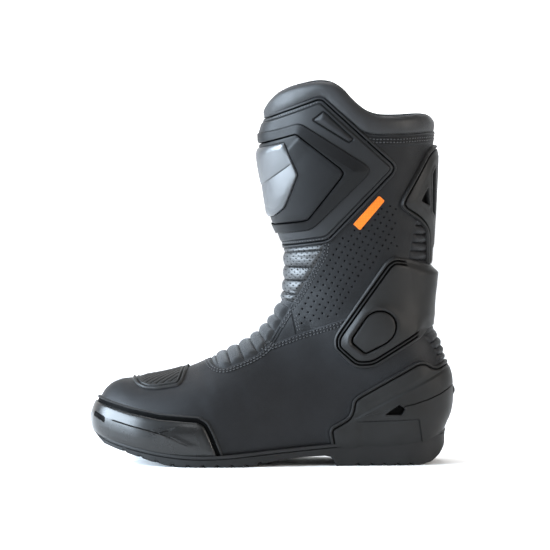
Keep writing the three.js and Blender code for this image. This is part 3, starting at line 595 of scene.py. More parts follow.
# ---------------------------------------------------------------- materials
class Nodes:
    """Short way to write a node tree; an output is given as (node, its name)."""

    def __init__(self, name):
        self.mat = bpy.data.materials.new(name)
        self.mat.use_nodes = True
        self.tree = self.mat.node_tree
        self.tree.nodes.clear()
        self.out = self.add("ShaderNodeOutputMaterial")
        self.bsdf = self.add("ShaderNodeBsdfPrincipled")
        self.link(self.bsdf, "BSDF", self.out, "Surface")
        self.coord = self.add("ShaderNodeTexCoord")

    def add(self, kind, **inputs):
        n = self.tree.nodes.new(kind)
        for k, v in inputs.items():
            n.inputs[k.replace("_", " ")].default_value = v
        return n

    def link(self, a, out, b, inp):
        self.tree.links.new(a.outputs[out], b.inputs[inp])

    def feed(self, socket, v):
        """Links an output to the socket, or sets the socket's value."""
        if isinstance(v, tuple) and isinstance(v[0], bpy.types.Node):
            self.tree.links.new(v[0].outputs[v[1]], socket)
        else:
            socket.default_value = v

    def noise(self, scale, detail=3.0, rough=0.55):
        n = self.add("ShaderNodeTexNoise", Scale=scale, Detail=detail, Roughness=rough)
        self.link(self.coord, "Object", n, "Vector")
        return n, "Fac"

    def cells(self, scale):
        """Distance to the borders of scattered cells, for leather grain."""
        n = self.add("ShaderNodeTexVoronoi", Scale=scale)
        n.feature = "DISTANCE_TO_EDGE"
        self.link(self.coord, "Object", n, "Vector")
        return n, "Distance"

    def attribute(self, name):
        n = self.add("ShaderNodeAttribute")
        n.attribute_name = name
        return n, "Fac"

    def ramp(self, src, *stops):
        n = self.add("ShaderNodeValToRGB")
        for e, (pos, col) in zip(n.color_ramp.elements, stops):
            e.position = pos
            e.color = (*col, 1)
        self.feed(n.inputs["Fac"], src)
        return n, "Color"

    def math(self, op, a, b):
        n = self.add("ShaderNodeMath")
        n.operation = op
        self.feed(n.inputs[0], a)
        self.feed(n.inputs[1], b)
        return n, "Value"

    def mix(self, fac, a, b, mode="MIX"):
        """Two colours, each an output or three numbers, mixed by a factor."""
        n = self.add("ShaderNodeMixRGB")
        n.blend_type = mode
        self.feed(n.inputs["Fac"], fac)
        for key, v in (("Color1", a), ("Color2", b)):
            self.feed(n.inputs[key], (*v, 1) if len(v) == 3 else v)
        return n, "Color"

    def remap(self, src, lo, hi, a, b):
        n = self.add("ShaderNodeMapRange")
        for key, v in (("From Min", lo), ("From Max", hi), ("To Min", a), ("To Max", b), ("Value", src)):
            self.feed(n.inputs[key], v)
        return n, "Result"

    def grooves(self, base, shade, depth, *gloss):
        """Painted shade: the colour turned dark in the grooves; gloss gives the specular level outside and
        inside them, so the grooves lose their reflection too.
        """
        painted_shade = self.attribute("painted_shade")
        if gloss:
            self.set(Specular_IOR_Level=self.remap(painted_shade, 0.0, 1.0, *gloss))
        return self.mix(self.remap(painted_shade, 0.0, 1.0, 0.0, depth), base, shade)

    def relief(self, *layers):
        """Bumps one on another, each (heights, strength, distance), as the shader's normal."""
        last = None
        for heights, strength, distance in layers:
            n = self.add("ShaderNodeBump", Strength=strength, Distance=distance)
            self.feed(n.inputs["Height"], heights)
            if last:
                self.link(last, "Normal", n, "Normal")
            last = n
        self.link(last, "Normal", self.bsdf, "Normal")

    def set(self, **inputs):
        for k, v in inputs.items():
            self.feed(self.bsdf.inputs[k.replace("_", " ")], v)


def leather_like(name, dark, light, rough=(0.42, 0.6), grain=1100, depth=0.00016, strength=0.5, sheen=0.0,
                 specular=0.5):
    """Grained leather: cells and fine creases, tone and gloss that wander, worn light edges."""
    n = Nodes(name)
    fine = n.noise(grain * 1.9, 2)
    cells = n.cells(grain)
    crease = n.noise(grain * 0.28, 3, 0.6)
    base = n.ramp(n.noise(22, 4), (0.3, dark), (0.72, light))
    valley = n.remap(cells, 0.0, 0.22, 0.55, 1.0)
    base = n.mix(1.0, base, n.ramp(valley, (0.0, (0.5, 0.5, 0.5)), (1.0, (1, 1, 1))), "MULTIPLY")
    worn = n.remap(n.attribute("edge"), 0.1, 1.3, 0.5, 0.0)
    base = n.mix(worn, base, tuple(min(1.0, c * 1.9) for c in light))
    # painted shade: darker colour and less reflection in grooves, seam rows and holes
    base = n.grooves(base, tuple(c * 0.22 for c in dark), 0.92, specular, 0.03)
    gloss = n.remap(n.noise(60, 3), 0.25, 0.75, *rough)
    gloss = n.math("ADD", gloss, n.remap(fine, 0.3, 0.7, -0.04, 0.06))
    n.set(Base_Color=base, Roughness=gloss)
    if sheen:
        n.set(Sheen_Weight=sheen, Sheen_Roughness=0.5)
    height = n.math("ADD", n.remap(cells, 0.0, 0.3, 0.0, 0.7), n.remap(crease, 0.2, 0.8, 0.0, 0.6))
    n.relief((height, strength, depth), (fine, strength * 0.5, depth * 0.6))
    return n.mat


def moulded_like(name, dark, light, rough=(0.38, 0.5), grain=2600, strength=0.25, specular=0.5):
    """Moulded plastic: fine spark grain, faint flow marks, scuffed edges."""
    n = Nodes(name)
    base = n.ramp(n.noise(30, 3), (0.3, dark), (0.7, light))
    scuffed = n.remap(n.attribute("edge"), 0.05, 1.0, 0.42, 0.0)
    base = n.mix(scuffed, base, tuple(min(1, c * 2.0) for c in light))
    # painted shade: darker colour and less reflection in grooves, slots and openings
    base = n.grooves(base, tuple(c * 0.25 for c in dark), 0.9, specular, 0.02)
    stroke = n.add("ShaderNodeTexNoise", Scale=9.0, Detail=6.0, Roughness=0.7, Distortion=0.4)
    squeeze = n.add("ShaderNodeMapping")
    squeeze.inputs["Scale"].default_value = (2.0, 2.0, 42.0)
    squeeze.inputs["Rotation"].default_value = (0.3, 0.5, 0.0)
    n.link(n.coord, "Object", squeeze, "Vector")
    n.link(squeeze, "Vector", stroke, "Vector")
    scratches = n.remap((stroke, "Fac"), 0.6, 0.72, 0.0, 0.05)
    n.set(Base_Color=base, Roughness=n.math("ADD", n.remap(n.noise(45, 4), 0.3, 0.7, *rough), scratches))
    n.relief((n.noise(grain, 2), strength, 0.00006), (n.noise(160, 2), strength * 0.35, 0.0002))
    return n.mat


def textile_like(name, dark, light, scale=900, rough=0.9, sheen=0.3, depth=0.00025):
    """Woven or knitted cloth from two crossed wave patterns."""
    n = Nodes(name)
    waves = []
    for direction in ("X", "Z"):
        w = n.add("ShaderNodeTexWave", Scale=scale / 6.0, Distortion=0.6, Detail=1.0)
        w.bands_direction = direction
        n.link(n.coord, "Object", w, "Vector")
        waves.append((w, "Fac"))
    weave = n.math("MULTIPLY", *waves)
    fuzz = n.noise(scale * 2, 3)
    tone = n.math("ADD", n.math("MULTIPLY", weave, 0.7), n.math("MULTIPLY", fuzz, 0.4))
    # painted shade: darker colour in the grooves
    base = n.grooves(n.ramp(tone, (0.1, dark), (0.9, light)), tuple(c * 0.3 for c in dark), 0.85)
    n.set(Base_Color=base, Roughness=rough, Sheen_Weight=sheen, Sheen_Roughness=0.6, Specular_IOR_Level=0.2)
    n.relief((weave, 0.6, depth), (fuzz, 0.3, depth * 0.5))
    return n.mat


def metal_like(name, dark, light, rough=(0.25, 0.45)):
    """Cast metal with a little uneven gloss."""
    n = Nodes(name)
    base = n.ramp(n.noise(120, 4), (0.3, dark), (0.7, light))
    n.set(Base_Color=base, Metallic=1.0, Roughness=n.remap(n.noise(300, 3), 0.3, 0.7, *rough))
    n.relief((n.noise(900, 3), 0.2, 0.00005))
    return n.mat


LEATHER = leather_like("leather", (0.0044, 0.0046, 0.0054), (0.0082, 0.0087, 0.0102), specular=0.2)
PERFORATED = leather_like("perforated_leather", (0.0036, 0.0037, 0.0043), (0.0066, 0.007, 0.008), grain=1300,
                          specular=0.17)
SHIN_LEATHER = leather_like("shin_leather", (0.0055, 0.0058, 0.0066), (0.01, 0.0106, 0.012), rough=(0.4, 0.5),
                            grain=1300, strength=0.28, specular=0.55)
SUEDE = leather_like("bellows_suede", (0.012, 0.0125, 0.0135), (0.025, 0.026, 0.028), rough=(0.8, 0.92),
                     grain=1700, strength=0.8, sheen=0.2, specular=0.2)
COLLAR = leather_like("collar_leather", (0.0075, 0.0078, 0.0086), (0.013, 0.0135, 0.0148), rough=(0.42, 0.56),
                      grain=900, specular=0.33)
RUBBER = moulded_like("sole_rubber", (0.0042, 0.0042, 0.0043), (0.0078, 0.0078, 0.0081), rough=(0.55, 0.7),
                      grain=1800, strength=0.4, specular=0.26)
MATTE = moulded_like("matte_moulding", (0.006, 0.0059, 0.0058), (0.0096, 0.0094, 0.0092), rough=(0.45, 0.56),
                     strength=0.3, specular=0.21)
GUARD = moulded_like("guard_moulding", (0.005, 0.0053, 0.0058), (0.008, 0.0084, 0.0094), rough=(0.43, 0.53),
                     strength=0.28, specular=0.22)
GLOSS = moulded_like("gloss_moulding", (0.0038, 0.0038, 0.0038), (0.0062, 0.0062, 0.0062), rough=(0.24, 0.32),
                     strength=0.05, specular=0.36)
# The plate's base colour is lighter and bluer than the other mouldings': partly the plate's own tone, partly a
# painted bluish highlight; the rest of its brightness comes from its high specular level.
PLATE = moulded_like("plate_moulding", (0.009, 0.0105, 0.0125), (0.014, 0.016, 0.019), rough=(0.31, 0.39),
                     strength=0.05, specular=0.85)
SATIN = moulded_like("satin_moulding", (0.0032, 0.0033, 0.0036), (0.0052, 0.0054, 0.006), rough=(0.42, 0.5),
                     strength=0.16, specular=0.14)
TEXTILE = textile_like("textile", (0.004, 0.004, 0.0044), (0.014, 0.014, 0.0152), sheen=0.12)
FOAM = textile_like("footbed_cloth", (0.014, 0.0145, 0.0155), (0.04, 0.041, 0.044), scale=700, sheen=0.15)
ORANGE = textile_like("tag_cloth", (0.5, 0.1, 0.002), (0.78, 0.2, 0.006), scale=1500, rough=0.7,
                      sheen=0.1, depth=0.0001)
THREAD = textile_like("thread", (0.012, 0.0125, 0.014), (0.03, 0.031, 0.034), scale=3000, rough=0.5,
                      sheen=0.2, depth=0.00005)
METAL = metal_like("dark_metal", (0.05, 0.05, 0.055), (0.13, 0.13, 0.14))

# The hidden parts keep their shape from the frame.
for node, mat in (("insole_board", TEXTILE), ("shank", METAL), ("toe_puff", TEXTILE),
                  ("heel_stiffener", TEXTILE), ("ankle_pad_lateral", FOAM), ("ankle_pad_medial", FOAM)):
    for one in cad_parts[node].material_slots:
        one.material = mat

# ---------------------------------------------------------------- design lines (mm, side view)
SOLE_TOP = np.array([[-262, 38], [-231, 27], [-210, 19], [-170, 11], [-130, 9.5], [-80, 14], [-35, 18],
                     [15, 22.5], [60, 28.5], [90, 33]], float)


def spline(points, per=8):
    """Smooth line through the points."""
    p = np.asarray(points, float)
    p = np.vstack([2 * p[0] - p[1], p, 2 * p[-1] - p[-2]])
    out = []
    t = (np.arange(per) / per)[:, None]
    for a, b, c, d in zip(p, p[1:], p[2:], p[3:]):
        out.append(b + 0.5 * t * (c - a + t * (2 * a - 5 * b + 4 * c - d + t * (3 * (b - c) + d - a))))
    out.append(p[-2:-1])
    return np.vstack(out)


SOLE_LINE = spline(SOLE_TOP)
RIM = spline([[-110, 276], [-96, 285.5], [-89.5, 291], [-86.3, 296.6], [-82, 301.5], [-77.5, 304.8],
              [-69, 308.6], [-56, 312], [-45, 313.5], [-35, 312], [-27, 307], [-20, 299.5], [-12, 292.5],
              [-4, 287.5], [6, 285], [22, 285], [36, 286.1], [43, 285.6], [46.5, 283.6], [50, 282.2],
              [70, 282]], 5)
COLLAR_SEAM = np.array([[-110, 264], [-92, 280.5], [-50, 299.5], [-45, 300.5], [-41, 299], [-14, 274.5],
                        [-9, 271.8], [0, 270.5], [20, 270.5], [70, 273.5]], float)
VAMP_SEAM = np.array([[-88.5, 96.5], [-64, 106.5], [-27, 119.5], [30, 133]], float)
BELLOWS_EDGE = spline([[-138, 93], [-135, 85.5], [-131, 80.5], [-123, 78.8], [-112, 82.5], [-98, 89],
                       [-88.5, 96.5], [-79, 112], [-68, 130]], 4)
FRONT_LINE = np.array([[-150, 79], [-135, 85], [-120, 91.5], [-110, 96.5], [-100, 103], [-92, 109.5],
                       [-85, 117], [-80, 124], [-76, 132], [-73.5, 142], [-73, 155], [-72.5, 170], [-74, 185],
                       [-79, 200]], float)
BACK_LINE = np.array([[54, 80], [53.5, 87], [53, 95], [51, 102], [47, 108], [44, 115], [43, 130], [42, 150],
                      [42, 165], [43, 180], [44.5, 200], [45.5, 220]], float)


def sole_z(x):
    """Height of the line between sole and upper."""
    return np.interp(x, SOLE_LINE[:, 0], SOLE_LINE[:, 1])


def ribs(line, points):
    """Phase of the pleats: whole numbers in the valleys at the listed points of a silhouette line."""
    d = dense(line, closed=False, step=0.5)
    run = lengths(d)
    at = np.array([run[np.argmin(np.sum((d - p) ** 2, 1))] for p in np.asarray(points, float)])
    ends = np.concatenate([[at[0] - 40], at, [at[-1] + 40]])
    count = np.concatenate([[-4], np.arange(len(at)), [len(at) + 3]])
    some = 20000  # points at a time

    def phase(m):
        nearest = [run[np.argmin((x[:, None] - d[:, 0]) ** 2 + (z[:, None] - d[:, 1]) ** 2, 1)]
                   for x, z in ((m["x"][i:i + some], m["z"][i:i + some]) for i in range(0, len(m["x"]), some))]
        return np.interp(np.concatenate(nearest), ends, count)
    return phase


def hash_noise(v, scale, seed=0):
    """Smooth repeatable noise, -1 to 1, of points in mm."""
    q = v / scale + seed * 17.31
    i = np.floor(q).astype(np.int64)
    f = q - i
    f = f * f * (3 - 2 * f)

    def rnd(ix, iy, iz):
        h = (ix * 374761393 + iy * 668265263 + iz * 2147483647 + seed * 974634) & 0xFFFFFFFF
        h = ((h ^ (h >> 13)) * 1274126177) & 0xFFFFFFFF
        return ((h ^ (h >> 16)) & 0xFFFF) / 32767.5 - 1
    out = 0
    for corner in np.ndindex(2, 2, 2):
        w = np.where(corner, f, 1 - f)
        out = out + w[:, 0] * w[:, 1] * w[:, 2] * rnd(*(i + corner).T)
    return out


def curve_on(points, side, offset=0.0, height=0.0, step=0.6):
    """Places, directions and normals along a side-view line on the upper, moved sideways and outwards."""
    d = dense(points, closed=False, step=step)
    on = np.nonzero(locate(d, side)[2])[0]
    line = [d[on]]
    if len(on) and on[-1] + 1 < len(d):
        line += to_silhouette(d[on[-1]:on[-1] + 1], d[on[-1] + 1:on[-1] + 2], side)[1:]
    if len(on) and on[0] > 0:
        line = to_silhouette(d[on[0]:on[0] + 1], d[on[0] - 1:on[0]], side)[:0:-1] + line
    p, n, _ = surface(np.vstack(line), side)
    t = unit(np.gradient(p, axis=0))
    return p + np.cross(n, t) * -side * offset + n * height, t, n


STITCHES = {}


def stitch(group, points, side, offset, height, pitch=3.0, length=1.95, radius=0.45):
    """A row of stitches beside a line, kept to be built with its group."""
    q, t, n = curve_on(points, side, offset, height)
    run = lengths(q)
    at = np.arange(pitch * 0.6, run[-1] - pitch * 0.4, pitch)
    c, t, n = (np.stack([np.interp(at, run, v[:, k]) for k in range(3)], 1) for v in (q, t, n))
    STITCHES.setdefault(group, []).append((c, unit(t), unit(n), length, radius))


# Sections along one stitch: place, thickness and lift, as shares of its length and radius.
STITCH_FORM = np.array([[-0.5, 0.15, -0.35], [-0.42, 0.75, 0.1], [-0.2, 1, 0.3], [0.2, 1, 0.3],
                        [0.42, 0.75, 0.1], [0.5, 0.15, -0.35]])


def build_stitches():
    """One object for each group of stitches; a stitch is half a rounded cord."""
    ends, k = len(STITCH_FORM), 5
    ang = np.linspace(0, np.pi, k)
    one = quads(ends, k, closed=False)[:, [0, 2, 1]]
    for (name, body), rows in STITCHES.items():
        verts = []
        for c, t, n, length, radius in rows:
            u, r, lift = (STITCH_FORM * [length, radius, radius]).T
            verts.append((c[:, None, None] + t[:, None, None] * u[None, :, None, None]
                          + np.cross(n, t)[:, None, None] * (np.cos(ang)[:, None] * r[:, None, None])
                          + n[:, None, None] * (np.sin(ang) * r[:, None] + lift[:, None])[..., None]
                          ).reshape(-1, 3))
        verts = np.vstack(verts)
        count = len(verts) // (ends * k)
        tris = (one + (np.arange(count) * ends * k)[:, None, None]).reshape(-1, 3)
        place(mesh_object(name, verts, tris, THREAD, 80), body)


# ---------------------------------------------------------------- helpers for the relief
def steps(m, key, xs, ys):
    """Height from a field by a list of steps."""
    return np.interp(m[key], xs, ys)


def blank(m):
    """A field of zeros."""
    return np.zeros(len(m["x"]))


def shade(m, amount):
    """Painted shade: darkens the bottom of grooves (0 to 1), where it isn't darker already."""
    m["painted_shade"] = np.maximum(m.get("painted_shade", 0.0), amount)


def grown(poly, d):
    """A closed outline moved outwards by d, or inwards when d is negative."""
    p = np.asarray(poly, float)
    q = np.roll(p, -1, 0)
    turn = np.sign(np.sum(p[:, 0] * q[:, 1] - q[:, 0] * p[:, 1]))
    e = unit(q - p)
    n = np.stack([e[:, 1], -e[:, 0]], 1) * turn
    n0 = np.roll(n, 1, 0)
    return p + (n + n0) * (d / np.maximum(1 + np.sum(n * n0, 1), 0.35))[:, None]


def roll(t, width, power=2.0):
    """Rounded shoulder: 0 at the edge, 1 from this width inwards."""
    u = np.clip(t / width, 0, 1)
    return (1 - (1 - u) ** power) ** (1 / power)


def smooth(t):
    """Soft step from 0 to 1."""
    t = np.clip(t, 0, 1)
    return t * t * (3 - 2 * t)


def groove(d, width, soft=0.35):
    """1 in the middle of a groove of this half width, 0 outside it."""
    return np.interp(np.abs(d), [width, width + soft], [1.0, 0.0])


def slant(x, z, along_x, along_z):
    """Field that is 0 at a place in the side view and grows at these rates."""
    return lambda m: (m["x"] - x) * along_x + (m["z"] - z) * along_z


# ---------------------------------------------------------------- leather panels
low_line = [[x, z - 1.2] for x, z in SOLE_LINE[::-1] if -250 < x < 85]
VAMP = np.vstack([[[-250, 110], [-138, 110]], BELLOWS_EDGE[:-7], VAMP_SEAM[:-1],
                  [[-27, 119.5], [30, 133], [70, 133]], low_line, [[-250, 30]]])


def flex_wrinkles(m):
    """Soft folds of worn leather across the ball and round the ankle."""
    w = np.exp(-((m["x"] + 118) / 26) ** 2) * np.clip((m["z"] - 20) / 40, 0, 1)
    w2 = np.exp(-((m["x"] + 20) / 40) ** 2 - ((m["z"] - 82) / 18) ** 2)
    a = hash_noise(np.stack([m["x"] + m["z"] * 0.35, m["P"][:, 1] * 0.35, m["z"] * 0.4], 1), 9, 3)
    b = hash_noise(m["P"] * np.array([1, 0.6, 1.6]), 13, 5)
    return w * a * 0.55 + w2 * b * 0.5 + 0.12 * hash_noise(m["P"], 24, 7)


def vamp_height(m):
    """Turned lip and two sewn rows along the top seam, and folds of worn leather."""
    lip = steps(m, "top", [0, 0.25, 0.8, 1.2, 2.0], [0.35, 0.75, 0.95, 0.95, 0.85])
    away = steps(m, "top", [3.0, 12.0], [1.0, 0.35])
    row = np.minimum(np.abs(m["top"] - 2.0), np.abs(m["top"] - 4.4))
    dip = np.interp(row, [0, 0.5], [0.22, 0.0])
    shade(m, np.interp(row, [0.2, 0.7], [0.85, 0.0]) * (m["top"] < 6))
    near_counter = steps(m, "hc", [0, 0.5, 1.8, 2.8], [0.0, 0.25, 0.3, 0.0])
    return lip * away - dip + near_counter + flex_wrinkles(m)


HEEL_COUNTER = rounded([[-34, 5], [-38, 28], [-36.5, 32], [-21, 40.5], [-18.5, 54], [-14, 57.8], [33, 85],
                        [39, 85.2], [47, 80], [54, 83], [75, 92], [75, 5]],
                       [0, 5, 4, 6, 5, 4, 8, 6, 8, 6, 0, 0])
heel_region = Region(both=HEEL_COUNTER)
vamp_region = Region(both=VAMP)
seam_top = Line(np.vstack([BELLOWS_EDGE[:-7], VAMP_SEAM]))
panel("vamp", "flex", vamp_region,
      {"top": (seam_top, [0.25, 0.8, 1.2, 1.6, 2.0, 2.4, 4.0, 4.4, 4.8]),
       "hc": (lambda m: -heel_region(m), [])},
      vamp_height, LEATHER, "leather", ("vamp", "heel_quarter_lateral", "heel_quarter_medial"), skirt=-0.6)

for side in (-1, 1):
    for off in (-2.0, -4.4):
        stitch(("stitches_vamp_seam", "flex"), np.vstack([BELLOWS_EDGE[2:-7], VAMP_SEAM[:-1]]), side, off, 0.8)

# ---------------------------------------------------------------- shaft leather
QUARTER = np.vstack([
    [[-88.5, 95.5], [-79, 112], [-68, 130], [-57, 149], [-43.5, 173.5], [-42, 184.3], [-46.4, 188.2],
     [-110, 188.5]],
    COLLAR_SEAM - [0, 0.2],
    [[90, 273.5], [90, 202], [33, 202], [26.5, 170], [26, 158], [90, 158], [90, 119], [44, 115], [30, 126],
     [-27, 115.5], [-64, 103]],
])
SHIN_SEAM = np.array([[-88.5, 96.5], [-79, 112], [-68, 130], [-57, 149], [-43.5, 173.5], [-42, 184.3],
                      [-46.4, 188.2], [-64, 188.4]], float)
HOLE_FIELD = rounded([[-62, 112], [-30, 121], [-24, 132], [-6, 160], [4, 172], [17, 176], [16, 214],
                      [6, 212], [-14, 196], [-34, 184], [-36, 172], [-62, 130]], 3)
SHELL = rounded([[66, 157], [45.5, 162.5], [27, 169], [14, 171.2], [7.5, 167], [-31.5, 109], [-33.5, 104],
                 [-33.5, 95], [-16.5, 79.5], [-1, 80.2], [37, 104.5], [43, 111.5], [66, 120]],
                [0, 3, 3, 7, 5, 5, 3, 4, 6, 6, 3, 3, 0])
SHELL_IN = rounded([[66, 157], [45.5, 162.5], [30, 166], [24, 160], [20, 140], [24, 118], [37, 106],
                    [43, 111.5], [66, 120]], [0, 3, 4, 5, 8, 6, 5, 3, 0])
ZIP = np.array([[6.2, 240], [1.9, 136]], float)
shell_region = Region(outer=SHELL, inner=SHELL_IN)
seam_line = Line(SHIN_SEAM)
zip_line = Line(ZIP, (1,), far=30)
GUSSET = [[-69.5, 131.0], [-64.2, 106.0]]
gusset_line = Mark(GUSSET)
collar_line = Line(COLLAR_SEAM)


NO_HOLE = 9.0  # mm: further than any hole reaches


def lattice(m, pitch, poly, turn, both=False):
    """Distance to the nearest of staggered rows of holes inside an outline."""
    c, s = math.cos(turn), math.sin(turn)
    u, v = m["x"] * c + m["z"] * s, -m["x"] * s + m["z"] * c
    best = np.full(len(u), NO_HOLE)
    for shift in (0.0, 0.5):
        cu, cv = ((np.round(w / pitch - shift) + shift) * pitch for w in (u, v))
        ok = inside(poly, cu * c - cv * s, cu * s + cv * c) & ((m["side"] < 0) | both)
        best = np.minimum(best, np.where(ok, np.hypot(u - cu, v - cv), NO_HOLE))
    return best


def pierced(m, h, radius=0.66, depth=0.9):
    """The height with punched holes."""
    d = m["hole"]
    shade(m, np.interp(d, [radius * 0.7, radius, radius * 1.3], [1.0, 0.9, 0.0]))
    return h - np.interp(d, [radius * 0.6, radius, radius * 1.9], [depth, 0.16, 0.0])


def quarter_height(m):
    """Lips and sewn rows at the seams, a soft belly, the zip's border or the gusset, and holes."""
    rows = np.minimum(np.abs(m["seam"] - 2.0), np.abs(m["seam"] - 4.6))
    rows = np.minimum(rows, np.minimum(np.abs(m["collar"] - 4.2), np.abs(m["collar"] - 6.6)))
    shade(m, np.interp(rows, [0.2, 0.7], [0.85, 0]))
    lip = steps(m, "seam", [0, 0.3, 0.9, 1.4, 7, 16], [0.15, 0.5, 0.7, 0.7, 0.6, 0.1])
    band = steps(m, "collar", [0, 1.0, 1.6, 2.4, 3.0, 9.0, 9.6], [0.3, 0.9, 0.7, 0.2, 0.75, 0.75, 0.1])
    bulge = 0.3 * hash_noise(m["P"], 27, 11) + 0.13 * hash_noise(m["P"], 11, 12)
    h = np.maximum(lip, band) + bulge * np.clip(m["edge"] / 8, 0, 1)
    h -= np.interp(rows, [0, 0.5], [0.2, 0])
    h += 0.3 * np.interp(m["shell"], [0, 1.5, 4], [1, 0.6, 0])
    if "slot" in m:
        beside = steps(m, "slot", [3.4, 4.2, 6.5, 8.2, 9], [0.5, 0.9, 0.9, 0.55, 0.0])
        h = np.where(m["side"] > 0, h + beside, h)
        shade(m, np.interp(np.abs(m["slot"] - 7.2), [0, 0.6], [0.3, 0]))
    if "gusset" in m:
        g, on = -m["gusset"], smooth((m["z"] - 103) / 3) * smooth((133 - m["z"]) / 3)
        h = h + on * np.interp(g, [-1.0, -0.3, 0.0, 0.5, 6.0, 12], [0, -0.25, -0.2, 0.6, 0.5, 0])
        shade(m, on * np.interp(np.abs(g), [0.1, 0.6], [0.9, 0]))
    return pierced(m, h)


QUARTER_FIELDS = {"seam": (seam_line, [0.3, 0.9, 1.6, 2.0, 2.4, 4.2, 4.6, 5.0]),
                  "collar": (collar_line, [1.0, 2.0, 3.0, 4.2, 6.6, 9.2]),
                  "shell": (lambda m: -shell_region(m), [])}
panel("quarter_lateral", "flex", Region(outer=QUARTER),
      {**QUARTER_FIELDS, "gusset": (gusset_line, [-0.5, 0.0, 0.3, 1.0])}, quarter_height, PERFORATED,
      "perforated_leather", skirt=-0.6,
      late={"hole": (lambda m: lattice(m, 7.3, HOLE_FIELD, 0.28), [0.35, 0.66, 0.95])},
      finer=(lambda m: inside(HOLE_FIELD, m["x"], m["z"]) & (m["side"] < 0), 1))
panel("quarter_medial", "flex", Region(inner=QUARTER),
      {**QUARTER_FIELDS, "slot": (zip_line, [4.2, 6.6, 7.2, 8.2])}, quarter_height, LEATHER, "leather",
      skirt=-0.6, late={"hole": (lambda m: blank(m) + NO_HOLE, [])}, cuts=(("slot", 3.4, 1),))
for side in (-1, 1):
    for off in (-2.0, -4.6):
        stitch(("stitches_shin_seam", "flex"), SHIN_SEAM[1:], side, off, 0.5)
    for off in (-4.2, -6.6):
        stitch(("stitches_collar_seam", "shaft"), COLLAR_SEAM[6:], side, off, 0.65, pitch=2.9)
for off in (1.5, 3.4):
    stitch(("stitches_shin_seam", "flex"), np.array(GUSSET) + [[0.3, -1.5], [0, 1.5]], -1, off, 0.6)
for off in (-7.2, 7.2):
    stitch(("stitches_zip", "flex"), ZIP[::-1], 1, off, 0.55, pitch=2.8)

# ---------------------------------------------------------------- pleated panels
LOW_VALLEYS = [(-121, 90.5), (-112, 96), (-103, 102), (-96, 108), (-89, 115), (-83, 121.5), (-77, 131)]
HIGH_VALLEYS = [(-77, 131), (-74, 140.5), (-73, 150.5), (-71.5, 161.5), (-72.5, 173), (-75, 184)]
INSTEP = np.vstack([BELLOWS_EDGE, [[-65.5, 133.0], [-110, 137], [-150, 115]]])
SHIN = np.array([[-110, 134], [-66.5, 131.2], [-56, 148.4], [-41.5, 173], [-41, 182.2], [-80, 177],
                 [-110, 173]], float)
SHIN_IN = np.array([[-110, 134], [-66.5, 131.2], [-56, 148.4], [-41.8, 173], [-40.5, 184.7], [-45.6, 189.7],
                    [-57, 189.7], [-57.5, 186], [-61, 184], [-80, 177], [-110, 173]], float)
ACHILLES = np.array([[34, 106], [36, 108.5], [44, 117.5], [90, 121], [90, 82], [50.5, 82], [47.5, 92],
                     [42, 100]], float)
CALF = np.array([[24.5, 157], [25, 170], [31.5, 203.5], [90, 203.5], [90, 157]], float)


def pleated(depth, base, fade):
    """Height of pleats between valleys at whole numbers of the phase."""
    def height(m):
        wave = np.abs(np.sin(np.pi * m["ph"])) ** 0.6
        env = smooth(m["edge"] / 5.0) * (fade(m) if fade else 1)
        shade(m, (1 - wave) ** 3 * 0.85 * env)
        fold = 0.22 * hash_noise(m["P"] * np.array([1, 0.5, 1]), 6.5, 21)
        h = -0.45 + env * (base + depth * wave + fold)
        return pierced(m, h, 0.45, 0.2) if "hole" in m else h
    return height


def pleat_piece(name, body, region, line, valleys, depth, base, mat, slot_name, fade=None, **more):
    """A pleated panel whose valleys meet a silhouette line at the listed points."""
    phases = list(range(-2, len(valleys) + 3))
    panel(name, body, region, {"edge": [1.5, 4.0], "ph": (ribs(line, valleys), phases)},
          pleated(depth, base, fade), mat, slot_name, skirt=-0.6, sharp=70, **more)


pleat_piece("instep_bellows", "flex", Region(both=INSTEP), FRONT_LINE, LOW_VALLEYS, 2.7, 0.7, SUEDE,
            "bellows_suede")
pleat_piece("shin_flex_panel", "flex", Region(outer=SHIN, inner=SHIN_IN), FRONT_LINE, HIGH_VALLEYS, 2.0, 0.9,
            SHIN_LEATHER, "perforated_leather",
            late={"hole": (lambda m: lattice(m, 4.4, SHIN_IN, 0.1, both=True), [0.3, 0.45])},
            finer=(lambda m: m["edge"] > 1, 1))
pleat_piece("achilles_bellows", "flex", Region(both=ACHILLES), BACK_LINE,
            [(53.5, 84), (53.5, 90), (52.5, 96), (50, 102.5), (46, 108.5), (44, 116)], 2.1, 0.8, LEATHER,
            "leather", fade=lambda m: steps(m, "z", [100, 113], [1, 0.25]))
pleat_piece("calf_bellows", "shaft", Region(both=CALF), BACK_LINE,
            [(42, 153), (42, 160), (42, 167), (43, 174), (43, 181), (43.5, 188), (44, 195), (45, 202)], 1.6,
            0.3, LEATHER, "leather")

# ---------------------------------------------------------------- collar and lining
COLLAR_AREA = np.vstack([COLLAR_SEAM, RIM[::-1]])
rim_line = Line(RIM)
SKIN = 2.4  # mm under the surface of the upper: where collar and lining meet at the rim


def collar_height(m):
    """Padded roll between seam and rim."""
    soft = 0.3 * hash_noise(m["P"], 17, 31) + 0.12 * hash_noise(m["P"], 7, 32)
    puff = steps(m, "x", [20, 44], [2.9, 1.2])
    body = 0.15 + (puff + soft) * roll(m["seam"], 7)
    shade(m, steps(m, "seam", [0, 1.2], [0.8, 0]))
    return -SKIN + (SKIN + body) * roll(m["rim"], 6.5)


def lining_height(m):
    """Padded skin on the inside, with a sewn line under the rim."""
    thick = (2.6 + 0.3 * hash_noise(m["P"], 15, 35)) * roll(m["rim"], 4.5)
    return -SKIN - thick + 0.5 * np.interp(np.abs(m["rim"] - 13), [0, 1.2], [1, 0])


